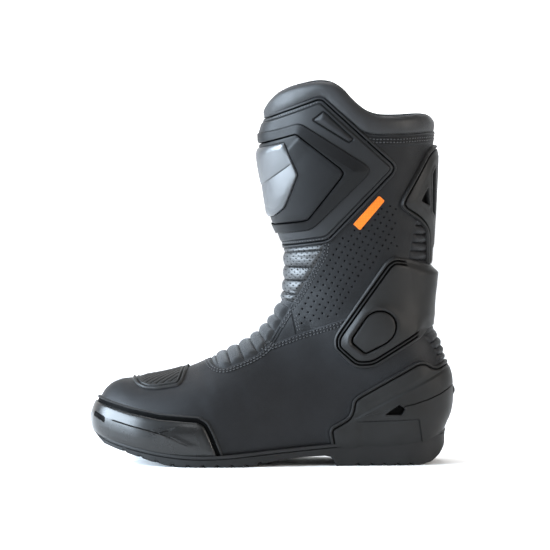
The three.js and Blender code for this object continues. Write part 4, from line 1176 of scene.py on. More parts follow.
collar = panel("collar", "shaft", Region(both=COLLAR_AREA),
               {"seam": (collar_line, [0.6, 1.5, 3.0]),
                "rim": (rim_line, [0.4, 1.0, 2.0, 3.5])},
               collar_height, COLLAR, "leather", skirt=-SKIN, sharp=75)
LINING = np.vstack([RIM, [[80, 286], [80, -8], [-240, -8], [-240, 90], [-130, 110], [-110, 290]]])
panel("lining", "flex", Region(both=LINING),
      {"rim": (Line(RIM, far=20), [0.4, 1.0, 2.0, 3.5, 12, 13, 14])},
      lining_height, TEXTILE, "textile", skirt=-SKIN, sharp=75, step=STEP * 2, flip=True)

# ---------------------------------------------------------------- shin guard
BASE_OUT = rounded([[-110, 277], [-92, 283.5], [-47, 301], [-42, 300.5], [14, 248.5], [16.5, 244], [14.5, 238],
                    [-36, 183.5], [-41, 181.5], [-80, 175.5], [-110, 171]], 3)
BASE_IN = rounded([[-110, 277], [-92, 283.5], [-62, 293], [-55, 291], [-39, 250], [-38, 244], [-40, 238],
                   [-54, 187], [-59, 183], [-80, 175.5], [-110, 171]], 3)
FRAME_OUT = rounded([[-110, 264.5], [-97, 268], [-62, 279], [-58, 278], [-9, 246.5], [-5.5, 242], [-7, 238],
                     [-49, 195], [-54, 192.5], [-83, 188.5], [-110, 185]], 2.5)
FRAME_IN = rounded([[-110, 264.5], [-97, 268], [-70, 275], [-66, 273], [-52, 246], [-50, 242], [-52, 237],
                    [-63, 196], [-67, 193], [-83, 188.5], [-110, 185]], 2.5)
INSERT_OUT = rounded([[-110, 256], [-94, 260.5], [-62, 271], [-28, 243.5], [-25.5, 239.5], [-28, 235],
                      [-52.5, 201.5], [-56, 200.5], [-83, 196.5], [-110, 193]], 1.6)
INSERT_IN = rounded([[-110, 256], [-94, 260.5], [-76, 266], [-63, 244], [-62, 240], [-63, 235], [-70, 204],
                     [-73, 200.5], [-83, 196.5], [-110, 193]], 1.6)
PLATE_OUT = rounded([[-110, 252], [-94, 257], [-70.5, 264.0], [-60.5, 238.5], [-70, 211], [-77, 204.5],
                     [-110, 200]], 1.0)
PLATE_IN = rounded([[-110, 252], [-94, 257], [-80, 261], [-70, 243], [-69, 238], [-77, 207], [-84, 203],
                    [-110, 200]], 1.0)
EMBOSS = rounded([[-50, 282], [-42, 288.5], [-19, 266.5], [-22, 264.5]], 0.5)
base_region = Region(outer=BASE_OUT, inner=BASE_IN)
frame_region = Region(outer=FRAME_OUT, inner=FRAME_IN)
insert_region = Region(outer=INSERT_OUT, inner=INSERT_IN)
plate_region = Region(outer=PLATE_OUT, inner=PLATE_IN)
emboss_region = Region(outer=EMBOSS)
insert_fold = slant(-60.5, 268, 0.78, -0.62)
plate_ridge = slant(-90.8, 226, 0.64, -0.77)
plate_foot = slant(-90, 214.5, 0.25, 1)


def front_part(m):
    """1 on the front line of the shin, 0 from 16 mm behind it."""
    return smooth((-70 - m["x"] - 0.06 * (m["z"] - 200)) / 15)


def guard_base_height(m):
    """Stepped rim with two grooves, the raised bar, and the rise to the frame in front."""
    h = steps(m, "edge", [0, 0.2, 0.6, 1.1, 1.9, 2.3, 2.6, 3.1, 3.5, 5.2, 5.6, 6.0, 6.8],
              [0.3, 1.4, 2.1, 2.35, 2.2, 1.2, 0.8, 0.8, 2.0, 2.2, 1.8, 2.2, 2.9])
    shade(m, groove(m["edge"] - 2.75, 0.35))
    shade(m, 0.5 * groove(m["edge"] - 5.6, 0.1, 0.3))
    h += steps(m, "emboss", [-1.4, -0.7, 0.0, 0.5, 3.5], [0, -0.7, -0.75, 0.1, 1.3])
    shade(m, 0.75 * groove(m["emboss"] + 0.35, 0.3, 0.3))
    shade(m, 0.7 * np.interp(-m["frame"], [0, 0.9], [1, 0]))
    rise = front_part(m) * np.where(m["z"] > 230, np.clip((283.5 - m["z"]) / 15, 0, 1) * 4.2,
                                    np.clip((m["z"] - 175) / 12, 0, 1) * 2.6)
    return h + rise + 0.15 * hash_noise(m["P"], 30, 41)


def guard_frame_height(m):
    """Shoulder that rises inwards and dips to the insert."""
    inner = -m["insert"]
    h = steps(m, "edge", [0, 0.35, 0.9, 1.8, 9, 14], [3.0, 4.0, 4.35, 4.55, 6.9, 7.4])
    lift = steps(m, "edge", [0, 0.35, 0.9, 12], [5.6, 7.2, 7.7, 7.3])
    h = h + (lift - h) * front_part(m)
    h = np.minimum(h, np.interp(inner, [0, 0.35, 1.0, 2.2], [5.6, 6.9, 7.3, 8.0]))
    shade(m, np.interp(inner, [0, 0.45, 0.9], [0.95, 0.5, 0.0]))
    return h


def guard_insert_height(m):
    """Flat field in a gap, with one fold at the top."""
    h = steps(m, "edge", [0, 0.5, 1.0, 2.0, 6.0], [4.2, 4.5, 6.0, 6.35, 6.6])
    shade(m, steps(m, "edge", [0, 0.5, 1.0], [1.0, 0.6, 0.0]))
    shade(m, 0.8 * np.interp(-m["plate"], [0, 0.7], [1, 0]))
    crease = np.interp(insert_fold(m), [0, 1.2, 12], [0.0, 0.55, -0.35])
    return h + crease - 0.3 * np.interp(-m["plate"], [0, 0.6], [1, 0])


def plate_height(m):
    """Plain plate with a ridge and a foot."""
    ridge = plate_ridge(m)
    shade(m, 0.35 * groove(ridge, 0.15, 0.3))
    low = np.interp(ridge, [-16, 0, 0.6, 16], [2.2, 0.7, 0.1, 1.3])
    low = low + np.interp(plate_foot(m), [-9, 0, 0.8], [0.9, -0.1, 0.0])
    low = low + (0.8 - low) * steps(m, "edge", [0.5, 4.0], [1, 0])
    return np.minimum(low + 7.1, steps(m, "edge", [0, 0.35, 0.9, 4.0], [6.2, 7.4, 7.9, 10.0]))


panel("shin_guard_base", "shaft", base_region,
      {"edge": [0.2, 0.6, 1.1, 1.9, 2.3, 2.75, 3.1, 3.5, 5.2, 5.6, 6.0, 6.8],
       "frame": (frame_region, [-0.9]), "emboss": (emboss_region, [-1.4, -0.7, 0.0, 0.5])},
      guard_base_height, GUARD, "matte_moulding", cuts=(("frame", 2.5, -1),))
panel("shin_guard_frame", "shaft", frame_region,
      {"edge": [0.35, 0.9, 1.8, 9], "insert": (insert_region, [-0.35, -1.0, -2.2])},
      guard_frame_height, SATIN, "matte_moulding", skirt=2.2, cuts=(("insert", 0.0, -1),), sharp=26)
panel("shin_guard_insert", "shaft", insert_region,
      {"edge": [0.5, 1.0, 2.0], "plate": (plate_region, [0.0, -0.7])},
      guard_insert_height, SATIN, "gloss_moulding", skirt=2.2, sharp=26)
panel("shin_guard_facet", "shaft", plate_region,
      {"edge": [0.35, 0.9], "ridge": (plate_ridge, [0, 0.6]), "foot": (plate_foot, [0, 0.8])},
      plate_height, PLATE, "gloss_moulding", skirt=4.0, sharp=14)
for line, off in (([[-92, 283.5], [-47, 301]], -4.4), ([[-80, 175.5], [-41, 181.5], [-38, 183]], 4.4)):
    for side, shorter in ((-1, 0), (1, 14)):  # the guard's wing is shorter on the inner side
        part = np.array(line, float)
        part[part[:, 0] > -60, 0] -= shorter
        stitch(("stitches_guard", "shaft"), part, side, off, 2.15, pitch=2.7, length=1.9, radius=0.32)

# ---------------------------------------------------------------- calf guard and ankle shell
CALF_OUT = rounded([[70, 270], [64, 268], [48, 261.5], [41, 255.5], [21, 219], [19, 213.5], [21.5, 209],
                    [34, 200], [40, 192], [41.0, 181], [40.4, 160], [70, 160]],
                   [0, 0, 3, 5, 4, 4, 4, 6, 6, 6, 0, 0])
CALF_IN = rounded([[70, 270], [64, 268], [48, 261.5], [44, 255.5], [34, 219], [33, 213.5], [34, 209],
                   [38, 200], [40.5, 192], [41.0, 181], [40.4, 160], [70, 160]],
                  [0, 0, 3, 4, 4, 3, 3, 5, 4, 4, 0, 0])
calf_region = Region(outer=CALF_OUT, inner=CALF_IN)
calf_hole = Region(outer=rounded([[33.5, 216.5], [38.5, 227], [39.6, 212.5]], 0.6),
                   inner=rounded([[37.5, 217.5], [40, 225], [41, 213.5]], 0.6))
calf_slot = Region(both=rounded([[42.0, 238.0], [44.3, 243.0], [43.9, 203.0], [41.8, 208.0]], 0.7))


def calf_height(m):
    """Rim with a groove, and the two openings."""
    h = steps(m, "edge", [0, 0.2, 0.7, 1.5, 2.1, 2.5, 3.0, 3.5, 4.6, 9.0],
              [1.0, 2.6, 3.6, 3.6, 3.0, 2.2, 2.2, 3.6, 4.0, 5.1])
    h = np.minimum(h, steps(m, "z", [160, 176, 200], [4.2, 4.4, 9]))
    shade(m, 0.9 * groove(m["edge"] - 2.75, 0.35))
    for key in ("hole", "slot"):
        d = m[key]
        h = np.where(d > -2.6, h + np.interp(d, [-2.6, -1.6, -0.4], [0, 0.45, 0.3]), h)
        sunk = np.interp(d, [-0.4, 0.0, 0.35], [1.0, 0.8, 0.0]) * h + 1.2 * np.interp(d, [0, 0.35], [0, 1])
        h = np.where(d > -0.4, sunk, h)
        shade(m, np.interp(d, [-0.1, 0.25], [0, 1]))
    return h


panel("calf_guard", "shaft", calf_region,
      {"edge": [0.2, 0.7, 1.5, 2.1, 2.5, 3.0, 3.5, 4.6], "hole": (calf_hole, [-1.6, -0.4, 0, 0.35]),
       "slot": (calf_slot, [-1.6, -0.4, 0, 0.35])}, calf_height, MATTE, "matte_moulding")

CAP = rounded([[-18, 104.5], [-18, 101], [-8, 92.5], [9, 101.5], [14, 107], [15.5, 114], [13, 121],
               [7, 125.5], [0, 126], [-6, 123]], [3, 2, 2, 5, 4, 5, 5, 5, 4, 4])
cap_region = Region(outer=CAP)
shell_facet = slant(20, 165.5, 0.33, 0.94)


def shell_height(m):
    """Rim, two grooves on the outer side, the bowl round the cap, and the thick rear."""
    e = m["edge"]
    h = np.interp(e, [0, 0.25, 0.9, 1.8, 4.0, 8.0, 22], [0.9, 2.6, 3.5, 3.8, 4.0, 4.9, 5.6])
    outer = m["side"] < 0
    grooved = np.clip(np.where(m["z"] > 140, 24 - m["x"], 33.5 - m["x"]) * outer / 1.5, 0, 1)
    for at in (3.0, 5.6):
        h = h - np.interp(np.abs(e - at), [0.45, 0.95], [1.7, 0.0]) * grooved
        shade(m, np.interp(np.abs(e - at), [0.5, 0.95], [1, 0]) * grooved)
    c = -m["cap"]
    bowl = np.interp(c, [-0.6, 0.0, 0.8, 1.3, 2.6, 3.6, 7.0, 9.5],
                     [-2.4, -2.2, -1.9, 0.5, 1.6, 1.6, 0.3, 0.0])
    side_bias = np.clip(0.55 + 0.45 * ((-m["x"] + 2) / 14 + (m["z"] - 108) / 40), 0.25, 1.25)
    h = h + np.where(bowl > 0, bowl * side_bias, bowl) * outer
    shade(m, np.interp(c, [0.8, 1.3], [1.0, 0.0]) * outer)
    h = h - np.interp(shell_facet(m), [-2.0, 2.5], [0.0, 1.6]) * (m["x"] > 18)
    back = steps(m, "z", [111, 113, 121, 145, 156, 158.5, 162], [0.7, 1.6, 4.2, 8.2, 9.3, 7.6, 4.2])
    back = np.minimum(back, np.interp(e, [0, 0.25, 0.9, 3, 9], [0.8, 2.2, 3.2, 5, 12]))
    return h + (back - h) * smooth((m["x"] - 30) / 13)


panel("ankle_shell", "shaft", shell_region,
      {"edge": [0.25, 0.9, 1.8, 2.05, 2.55, 3.45, 3.95, 4.65, 5.15, 6.05, 6.55],
       "cap": (lambda m: np.where(m["side"] < 0, cap_region(m), -9.0), [0.6, -0.8, -1.3, -2.6, -3.6])},
      shell_height, MATTE, "matte_moulding")
panel("ankle_cap", "shaft", cap_region, {"edge": [0.3, 0.8]},
      lambda m: steps(m, "edge", [0, 0.3, 0.9, 2.0, 9.0], [4.2, 5.0, 5.5, 5.7, 6.2]), MATTE,
      "matte_moulding", skirt=1.5)

DISC_Z, DISC_R = 103, 21  # the inner disc sits on the ankle axis
turn = np.linspace(0, 2 * np.pi, 49)[:-1]
DISC = np.stack([DISC_R * np.cos(turn), DISC_Z + DISC_R * np.sin(turn)], 1)


def disc_height(m):
    """Ring with a groove and six spokes."""
    e = m["edge"]
    h = np.interp(e, [0, 0.3, 1.0, 2.4, 3.0, 3.5, 4.0, 5.0, 9.6, 10.1, 10.6, 11.2],
                  [0.4, 1.6, 2.3, 2.4, 1.7, 1.7, 2.5, 2.8, 3.2, 2.6, 2.6, 3.1])
    shade(m, groove(e - 3.25, 0.35))
    shade(m, groove(e - 10.35, 0.3))
    spoke = np.abs(np.sin(np.arctan2(m["z"] - DISC_Z, m["x"]) * 3))
    return h - 0.7 * (spoke < 0.22) * np.interp(e, [4.6, 5.2, 8.8, 9.4], [0, 1, 1, 0])


panel("medial_ankle_disc", "shaft", Region(inner=DISC),
      {"edge": [0.3, 1.0, 2.4, 3.0, 3.5, 4.0, 9.6, 10.1, 10.6, 11.2]}, disc_height, MATTE,
      "matte_moulding")

# ---------------------------------------------------------------- heel counter
VENT = rounded([[7.5, 42.2], [18.8, 50.3], [23.2, 46.8], [20.5, 42.2]], 0.5)
vent_region = Region(both=VENT)
LOW_PANEL = np.array([[-60, 35.5], [-13.5, 36.5], [34, 38.5], [36.5, 20], [36.5, 5], [-60, 5]], float)
low_region = Region(both=rounded(LOW_PANEL, 1.5))
parting = Mark([[23, 49], [31, 51], [40, 54.5], [50, 59], [60, 65], [68, 71]])
heel_crease = slant(-9.4, 43.4, 0.475, -0.88)


def heel_height(m):
    """Rim with a groove, the fold, the low panel, the vent, the parting line and the rear tab."""
    e = m["edge"]
    h = np.interp(e, [0, 0.2, 0.7, 1.6, 2.2, 2.5, 3.0, 3.4, 4.4, 12],
                  [0.8, 2.6, 3.5, 3.5, 2.7, 2.0, 2.0, 3.2, 3.6, 4.4])
    shade(m, 0.9 * groove(e - 2.75, 0.35))
    on = smooth((m["x"] + 24) / 9) * smooth((m["z"] - 33) / 9)
    fold = np.interp(heel_crease(m), [-4, -1.2, 0.0, 1.6, 10], [0.0, -0.55, -0.6, 0.55, 0.9])
    h = h + on * fold * np.interp(e, [3, 6], [0, 1])
    low = m["low"]
    left = np.clip((m["x"] + 17) / 6, 0, 1) * np.clip((e - 3.2) / 3, 0, 1)
    h = h + np.interp(low, [-1.0, 0.0, 0.3, 0.9], [0.0, 0.15, -0.6, -0.8]) * left
    shade(m, 0.6 * groove(low - 0.15, 0.1, 0.35) * left)
    v = m["vent"]
    h = np.where(v > -0.2, h * np.interp(v, [-0.2, 0.3], [1, 0.15]),
                 h + 0.35 * np.interp(v, [-2.4, -1.0, -0.4], [0, 1, 0.4]))
    shade(m, np.interp(v, [-0.1, 0.25], [0, 1]))
    part = np.abs(m["part"])
    h = h - np.interp(part, [0.2, 0.6], [0.6, 0.0])
    shade(m, np.interp(part, [0.2, 0.6], [0.8, 0.0]))
    tab = np.exp(-((m["z"] - 59.5) / 2.6) ** 4) * np.clip((8 - np.abs(m["P"][:, 1])) / 1.5, 0, 1)
    return h + 1.3 * (tab * (m["x"] > 40)) + 0.12 * hash_noise(m["P"], 20, 51)


panel("heel_counter", "foot", heel_region,
      {"edge": [0.2, 0.7, 1.6, 2.2, 2.5, 3.0, 3.4, 4.4], "low": (low_region, [-0.1, 0.3, 0.9]),
       "vent": (vent_region, [-1.0, -0.2, 0.3]), "part": (parting, [-0.6, -0.2, 0.2, 0.6]),
       "crease": (heel_crease, [-1.2, 0.0, 1.6])},
      heel_height, MATTE, "matte_moulding", sharp=30)

# ---------------------------------------------------------------- toe slider and shift pad
SLIDER_TOP_OUT = [[-262, 60], [-250, 56], [-228, 49.5], [-200, 42.5], [-175, 38.2], [-145, 36.3], [-140, 33.5],
                  [-136.5, 27], [-129, 8.5]]
SLIDER_TOP_IN = [[-262, 60], [-250, 56], [-228, 49], [-221, 44], [-214, 34], [-210.5, 18]]


def sole_edge(x1):
    """The line just under the sole's top, from x1 to the toe."""
    return [[x, z - 0.3] for x, z in SOLE_LINE[::-1] if x < x1] + [[-262, 37.7]]


SLIDER_OUT = rounded(np.vstack([SLIDER_TOP_OUT, sole_edge(-131)]), 1.2)
SLIDER_IN = rounded(np.vstack([SLIDER_TOP_IN, sole_edge(-212)]), 1.2)
GASKET_OUT = np.vstack([grown(np.vstack([SLIDER_TOP_OUT, [[-129, 0], [-262, 0]]]), 5.0)[:9],
                        sole_edge(-127.5)])
GASKET_IN = np.vstack([[[-262, 65.3], [-250, 61.0], [-227, 54.0], [-217.0, 47.2], [-209.2, 35.3], [-205.7, 18]],
                       sole_edge(-207)])
slider_region = Region(outer=SLIDER_OUT, inner=SLIDER_IN)
gasket_region = Region(outer=GASKET_OUT, inner=GASKET_IN)
slot_region = Region(both=rounded([[-227.2, 38.4], [-226.4, 42.2], [-218.2, 38.2], [-218.6, 34.0]], 1.1))
marks = [Mark([[-212, 36.2], [-196, 32], [-176, 27.4], [-166, 24.2], [-151, 17.4]]),
         Mark([[-175.5, 27.6], [-167, 29.8], [-159, 33.2]])]


slider_end = slant(-141.5, 28, 0.9, 0.38)
slider_wedge = slant(-176, 27, 0.42, 1)


def slider_height(m):
    """Smooth body with two marks, the slot and a wedge."""
    e = m["edge"]
    h = np.interp(e, [0, 0.25, 0.8, 1.8, 4.0, 9.0], [0.9, 2.3, 2.9, 3.2, 3.6, 3.9])
    for key, fade in (("mark0", (m["x"] + 150) / -22), ("mark1", (m["x"] + 158) / -12)):
        w = np.clip(fade, 0, 1)
        h = h - np.interp(np.abs(m[key]), [0, 0.6], [0.55, 0.0]) * w
        shade(m, np.interp(np.abs(m[key]), [0.1, 0.6], [1.0, 0]) * w)
    s = m["slot"]
    h = np.where(s > -0.2, h * np.interp(s, [-0.2, 0.3], [1, 0.8]), h)
    shade(m, np.interp(s, [-0.1, 0.2], [0, 1.1]))
    shade(m, 0.25 * groove(e - 2.6, 0.1, 0.3) * (slider_end(m) > -6))
    wedge = 0.5 * np.interp(slider_wedge(m), [-6, 0, 5], [0.0, 1.0, 0.2])
    return h + wedge * np.clip((m["x"] + 182) / 12, 0, 1) * np.clip(e / 3, 0, 1)


panel("toe_slider", "foot", slider_region,
      {"edge": [0.25, 0.8, 1.8], "slot": (slot_region, [-0.2, 0.3]),
       "mark0": (marks[0], [-0.6, 0.0, 0.6]), "mark1": (marks[1], [-0.6, 0.0, 0.6])},
      slider_height, GLOSS, "gloss_moulding", sharp=34)


def gasket_height(m):
    """Dark band beside the slider, then a ridge."""
    d = -m["sl"]
    h = np.interp(d, [0.3, 0.6, 3.1, 3.5, 4.0, 4.6, 5.0], [1.0, 1.2, 1.3, 2.4, 2.7, 2.3, 0.9])
    shade(m, np.interp(d, [3.0, 3.4], [1.0, 0.0]))
    return h


panel("toe_slider_gasket", "foot", gasket_region,
      {"sl": (slider_region, [-0.6, -3.1, -3.5, -4.0, -4.6])},
      gasket_height, RUBBER, "sole_rubber", cuts=(("sl", -0.3, -1),))

PAD_OUT = rounded([[-199, 95], [-199, 68], [-195, 64], [-188, 61.5], [-178, 61.5], [-161, 64.5], [-157, 68],
                   [-149, 90], [-149, 95]], 2)
PAD_IN = rounded([[-199, 95], [-199, 62], [-195, 54], [-188, 50], [-178, 50], [-161, 54.5], [-157, 59],
                  [-149, 90], [-149, 95]], 2)


LANE = 4.2  # mm between the ribs of the pad


def pad_lane(m):
    """Place across the slanting ribs."""
    return m["x"] * 0.5 - m["P"][:, 1] * 0.87


def pad_height(m):
    """Rim with a groove round slanting ribs."""
    e = m["edge"]
    h = np.interp(e, [0, 0.3, 1.0, 1.6, 2.3, 2.8, 3.4, 4.2, 5.0, 5.5],
                  [0.5, 1.6, 2.2, 2.2, 1.5, 0.9, 0.9, 1.9, 1.9, 1.3])
    wave = np.abs(np.sin(np.pi * pad_lane(m) / LANE)) ** 0.7
    on = np.interp(e, [5.2, 6.2], [0, 1]) * np.clip((m["x"] + 193) / 6, 0, 1)
    shade(m, 0.7 * groove(e - 3.1, 0.3))
    shade(m, 0.7 * (1 - wave) ** 2 * on)
    return h + 1.1 * wave * on


panel("shift_pad", "foot", Region(outer=PAD_OUT, inner=PAD_IN),
      {"edge": [0.3, 1.0, 1.6, 2.3, 2.8, 3.4, 4.2, 5.0],
       "lane": (pad_lane, [LANE * k for k in range(-36, 0)])},
      pad_height, MATTE, "matte_moulding", sharp=50)

# ---------------------------------------------------------------- tag
TAG = np.array([[2, 220.8], [6.8, 216.6], [-13, 192.6], [-18.6, 197.6]])
panel("label_tag", "shaft", Region(outer=TAG), {"edge": [0.15, 0.5, 0.9]},
      lambda m: steps(m, "edge", [0, 0.15, 0.5, 0.9, 1.3], [0.9, 1.25, 1.4, 1.25, 1.3]), ORANGE, "label",
      skirt=0.2)

# ---------------------------------------------------------------- zip on the inner side
ZIP_LOW, ZIP_RUN, ZIP_LEAN = 140, 96, 4  # mm: height of the lower end, length and lean to the rear


def zip_frame(z, lift):
    """Place and directions (along the zip upwards, across to the rear, outwards) on the zip's line."""
    z = np.atleast_1d(np.asarray(z, float))
    x = 2 + ZIP_LEAN * (z - ZIP_LOW) / ZIP_RUN
    p, n, _ = surface(np.stack([x, z], 1), 1)
    q, _, _ = surface(np.stack([x + ZIP_LEAN / ZIP_RUN, z + 1], 1), 1)
    t = unit(q - p)
    n = unit(n - t * np.sum(n * t, 1)[:, None])
    b = np.cross(n, t)
    b *= np.sign(b[:, :1])
    return p + n * lift, t, b, n


def blocks(name, parts, body, mat, nodes=(), sharp=40):
    """Small bevelled blocks: places, axes and half sizes, each with a chamfered top."""
    verts, tris, base = [], [], 0
    u = np.array([[x * r, y * r, z] for r, z in ((1, -1), (1, 0.4), (0.72, 1))
                  for x, y in ((-1, -1), (1, -1), (1, 1), (-1, 1))])
    one = np.vstack([[[0, 3, 2], [0, 2, 1], [8, 9, 10], [8, 10, 11]], quads(3, 4)])
    for c, ax, half in parts:
        v = c[:, None, :] + sum(ax[k][:, None, :] * (u[None, :, k, None] * half[k]) for k in range(3))
        hand = np.linalg.det(np.stack([ax[0][0], ax[1][0], ax[2][0]]))
        t = one if hand > 0 else one[:, ::-1]
        verts.append(v.reshape(-1, 3))
        tris.append((t[None] + (base + np.arange(len(c)) * len(u))[:, None, None]).reshape(-1, 3))
        base += len(c) * len(u)
    place(mesh_object(name, np.vstack(verts), np.vstack(tris), mat, sharp), body, nodes)


def tape_height(m):
    """Woven tape, highest beside the teeth."""
    shade(m, steps(m, "slot", [2.2, 2.8, 3.4], [0.9, 0.3, 0.6]))
    weave = 0.12 * np.sin(m["z"] * 3.0) * 0.3
    return steps(m, "slot", [0.3, 1.9, 2.4, 3.0], [-0.55, -0.35, -0.1, -0.35]) + weave


TAPE = np.array([[-10, 136], [14, 136], [18.5, 240.5], [-6, 240.5]], float)
panel("zip_tapes", "flex", Region(inner=TAPE),
      {"slot": (zip_line, [0.4, 1.9, 2.4, 3.0])}, tape_height, TEXTILE, "textile",
      ("zip_tape_front", "zip_tape_rear"), skirt=-0.9)
rows = np.arange(143.5, 232.5, 1.5)
teeth = []
for sign, shift in ((-1, 0.0), (1, 0.75)):
    p, t, b, n = zip_frame(rows + shift, 0.25)
    teeth.append((p + b * (0.75 * sign), (b, t, n), (1.25, 0.42, 0.42)))
blocks("zip_chain", teeth, "flex", METAL, ("zip_chain",))
for name, z in (("zip_top_stop", 234.6), ("zip_bottom_stop", 141.4)):
    p, t, b, n = zip_frame([z], 0.45)
    axes = (b, t, n)
    blocks(name, [(p, axes, (2.2, 1.2, 0.6)), (p + t * 0.2, axes, (1.3, 0.8, 0.85))], "shaft", METAL,
           (name,))

# ---------------------------------------------------------------- closure flap
FLAP_LOW, FLAP_HIGH = 243, 268
FLAP_CUTS = {"edge": [0.3, 0.7, 1.3, 2.0, 2.4, 2.8]}


def tab(x0, x1, radii, d=0.0):
    """A rounded oblong on the inner side, at the flap's height less d at both ends."""
    low, high = FLAP_LOW + d, FLAP_HIGH - d
    return Region(inner=rounded([[x0, low], [x1, low], [x1, high], [x0, high]], radii))


def tab_height(low, high):
    """Height of a leather tab with a sewn groove round it."""
    def height(m):
        e = m["edge"]
        row = np.abs(e - 2.4)
        shade(m, 0.4 * np.interp(row, [0, 0.6], [1, 0]))
        soft = 0.15 * hash_noise(m["P"], 9, 61) * np.clip(e / 4, 0, 1)
        return low + (high - low) * roll(e, 1.3) - 0.18 * np.interp(row, [0, 0.5], [1, 0]) + soft
    return height


panel("flap_anchor", "shaft", tab(-27, -17.4, [3, 0.3, 0.3, 3]), FLAP_CUTS,
      tab_height(3.0, 4.5), LEATHER, "leather")
panel("closure_flap", "flap", tab(-16.6, 28, [0.3, 5, 5, 0.3]), FLAP_CUTS,
      tab_height(3.2, 4.5), LEATHER, "leather", skirt=2.9, solid=True)


def fuzzy(top, amount, seed):
    """Height of hook or loop cloth."""
    return lambda m: (top - amount * (0.5 + 0.5 * hash_noise(m["P"], 0.9, seed))
                      - 0.5 * (1 - roll(m["edge"], 0.8)))


patch_region = tab(11, 26, 1.5, 3.0)
panel("hook_patch", "flap", patch_region, {"edge": [0.4, 0.8]},
      lambda m: 2.7 + blank(m), TEXTILE, "textile", skirt=1.75, solid=True, under=fuzzy(0, 0.5, 71))
panel("loop_patch", "shaft", patch_region, {"edge": [0.4, 0.8]},
      fuzzy(1.5, 0.5, 72), TEXTILE, "textile")

# ---------------------------------------------------------------- zip slider and pull
SLIDER_Z = 229  # mm, with the zip closed
PIVOT = 4.9  # mm from the upper out to the pull's pivot
p, t, b, n = zip_frame([SLIDER_Z], 0.0)


def onto_zip(v):
    """Points given along, across and out of the zip at the slider, as places in space."""
    v = np.asarray(v, float)
    return p + v[:, :1] * t + v[:, 1:2] * b + v[:, 2:3] * n


def lofted(name, sections, body, mat, nodes=()):
    """A closed skin through cross-sections with equal point counts, on the zip at the slider."""
    k, m = len(sections), len(sections[0])
    cap = np.stack([np.zeros(m - 2, int), np.arange(2, m), np.arange(1, m - 1)], 1)
    tris = np.vstack([quads(k, m), cap, (cap + (k - 1) * m)[:, ::-1]])
    ob = mesh_object(name, onto_zip(np.vstack(sections)), tris, mat, 50)
    face_outwards(ob)
    place(ob, body, nodes)


def face_outwards(ob):
    """Turns every face of a closed skin outwards."""
    bm = bmesh.new()
    bm.from_mesh(ob.data)
    bmesh.ops.recalc_face_normals(bm, faces=bm.faces)
    bm.to_mesh(ob.data)
    bm.free()


def plate_sections(plan, levels):
    """Cross-sections of a small plate: one outline at several heights, pulled in at its edges."""
    return [np.column_stack([grown(plan, -d)[:, ::-1] * [-1, 1], np.full(len(plan), z)]) for z, d in levels]


SLIDER_PLAN = rounded([[-4.4, -5], [4.4, -5], [4.8, -2], [2.6, 5], [-2.6, 5], [-4.8, -2]], 1.1)
SLIDER_LEVELS = [(1.3, 0.5), (1.45, 0.15), (1.7, 0), (2.6, 0), (3.0, 0.25), (3.2, 0.8), (3.45, 1.7)]
lofted("zip_slider", plate_sections(SLIDER_PLAN, SLIDER_LEVELS), "zip_slider", METAL,
       ("zip_slider",))
ears = [(onto_zip([[0.0, sign * 2.5, 4.3]]), (t, b, n), (1.3, 0.6, 1.5)) for sign in (-1, 1)]
blocks("zip_slider_ears", ears, "zip_slider", METAL)


def rod(name, radius, half, body):
    """A round bar across the slider at the pull's pivot."""
    a = np.linspace(0, 2 * np.pi, 25)[:-1]
    prof = [(-half, radius * 0.8), (-half + 0.15, radius), (half - 0.15, radius), (half, radius * 0.8)]
    rings = [np.column_stack([r * np.cos(a), np.full(len(a), w), PIVOT + r * np.sin(a)]) for w, r in prof]
    lofted(name, rings, body, METAL)


rod("zip_slider_bar", 0.7, 3.0, "zip_slider")
PULL_PLAN = rounded([[-1.5, -1.2], [1.5, -1.2], [1.5, 3.4], [2.5, 4.6], [2.7, 15.0], [1.6, 16.6], [-1.6, 16.6],
                     [-2.7, 15.0], [-2.5, 4.6], [-1.5, 3.4]],
                    [0.6, 0.6, 0.6, 0.8, 1.2, 1.2, 1.2, 1.2, 0.8, 0.6])
PULL_LEVELS = [(4.3, 0.35), (4.45, 0.08), (4.6, 0), (5.2, 0), (5.38, 0.1), (5.5, 0.4)]
lofted("zip_pull", plate_sections(PULL_PLAN, PULL_LEVELS), "zip_pull", METAL, ("zip_pull",))
rod("zip_pull_eye", 1.25, 1.5, "zip_pull")
GRIP = rounded([[-1.75, 6.0], [1.75, 6.0], [1.9, 14.6], [1.1, 15.6], [-1.1, 15.6], [-1.9, 14.6]], 0.5)
for name, levels in (("zip_pull_grip", [(5.3, 0.0), (5.75, 0.0), (5.95, 0.3), (6.0, 0.8)]),
                     ("zip_pull_grip_back", [(4.45, 0.0), (4.0, 0.0), (3.85, 0.3), (3.8, 0.8)])):
    lofted(name, plate_sections(GRIP, levels), "zip_pull", RUBBER)

# ---------------------------------------------------------------- outsole
SOLE_BOTTOM = np.array([[-262, 36], [-231.5, 25.3], [-222, 16.5], [-200, 9.5], [-182, 4.2], [-169, 1.2],
                        [-158, 0], [-106, 0], [-92, 2.6], [-76, 5.6], [-58, 7.6], [-41, 8.4], [-36, 7.4],
                        [-33.5, 4], [-32, 0], [36, 0], [46, 2.5], [53, 8], [57.5, 15], [60, 20]], float)
SOLE_PLAN = np.array([[57.5, 0], [54, -17], [44, -29], [27, -35.5], [0, -38.5], [-30, -41], [-58, -44.5],
                      [-88, -50.5], [-115, -55.5], [-140, -57], [-165, -53.5], [-190, -45], [-208, -34],
                      [-221, -20], [-229, -4], [-231.5, 12], [-229, 28], [-221, 40.5], [-208, 48.5], [-190, 53],
                      [-165, 54.5], [-140, 53], [-115, 48], [-88, 43.5], [-58, 41], [-30, 40], [0, 38.5],
                      [27, 35.5], [44, 29], [54, 17]], float)
TREAD = [-212, -200, -188, -176, -164, -152, -140, -128, -116, -104, -22, -11, 0, 11, 22]


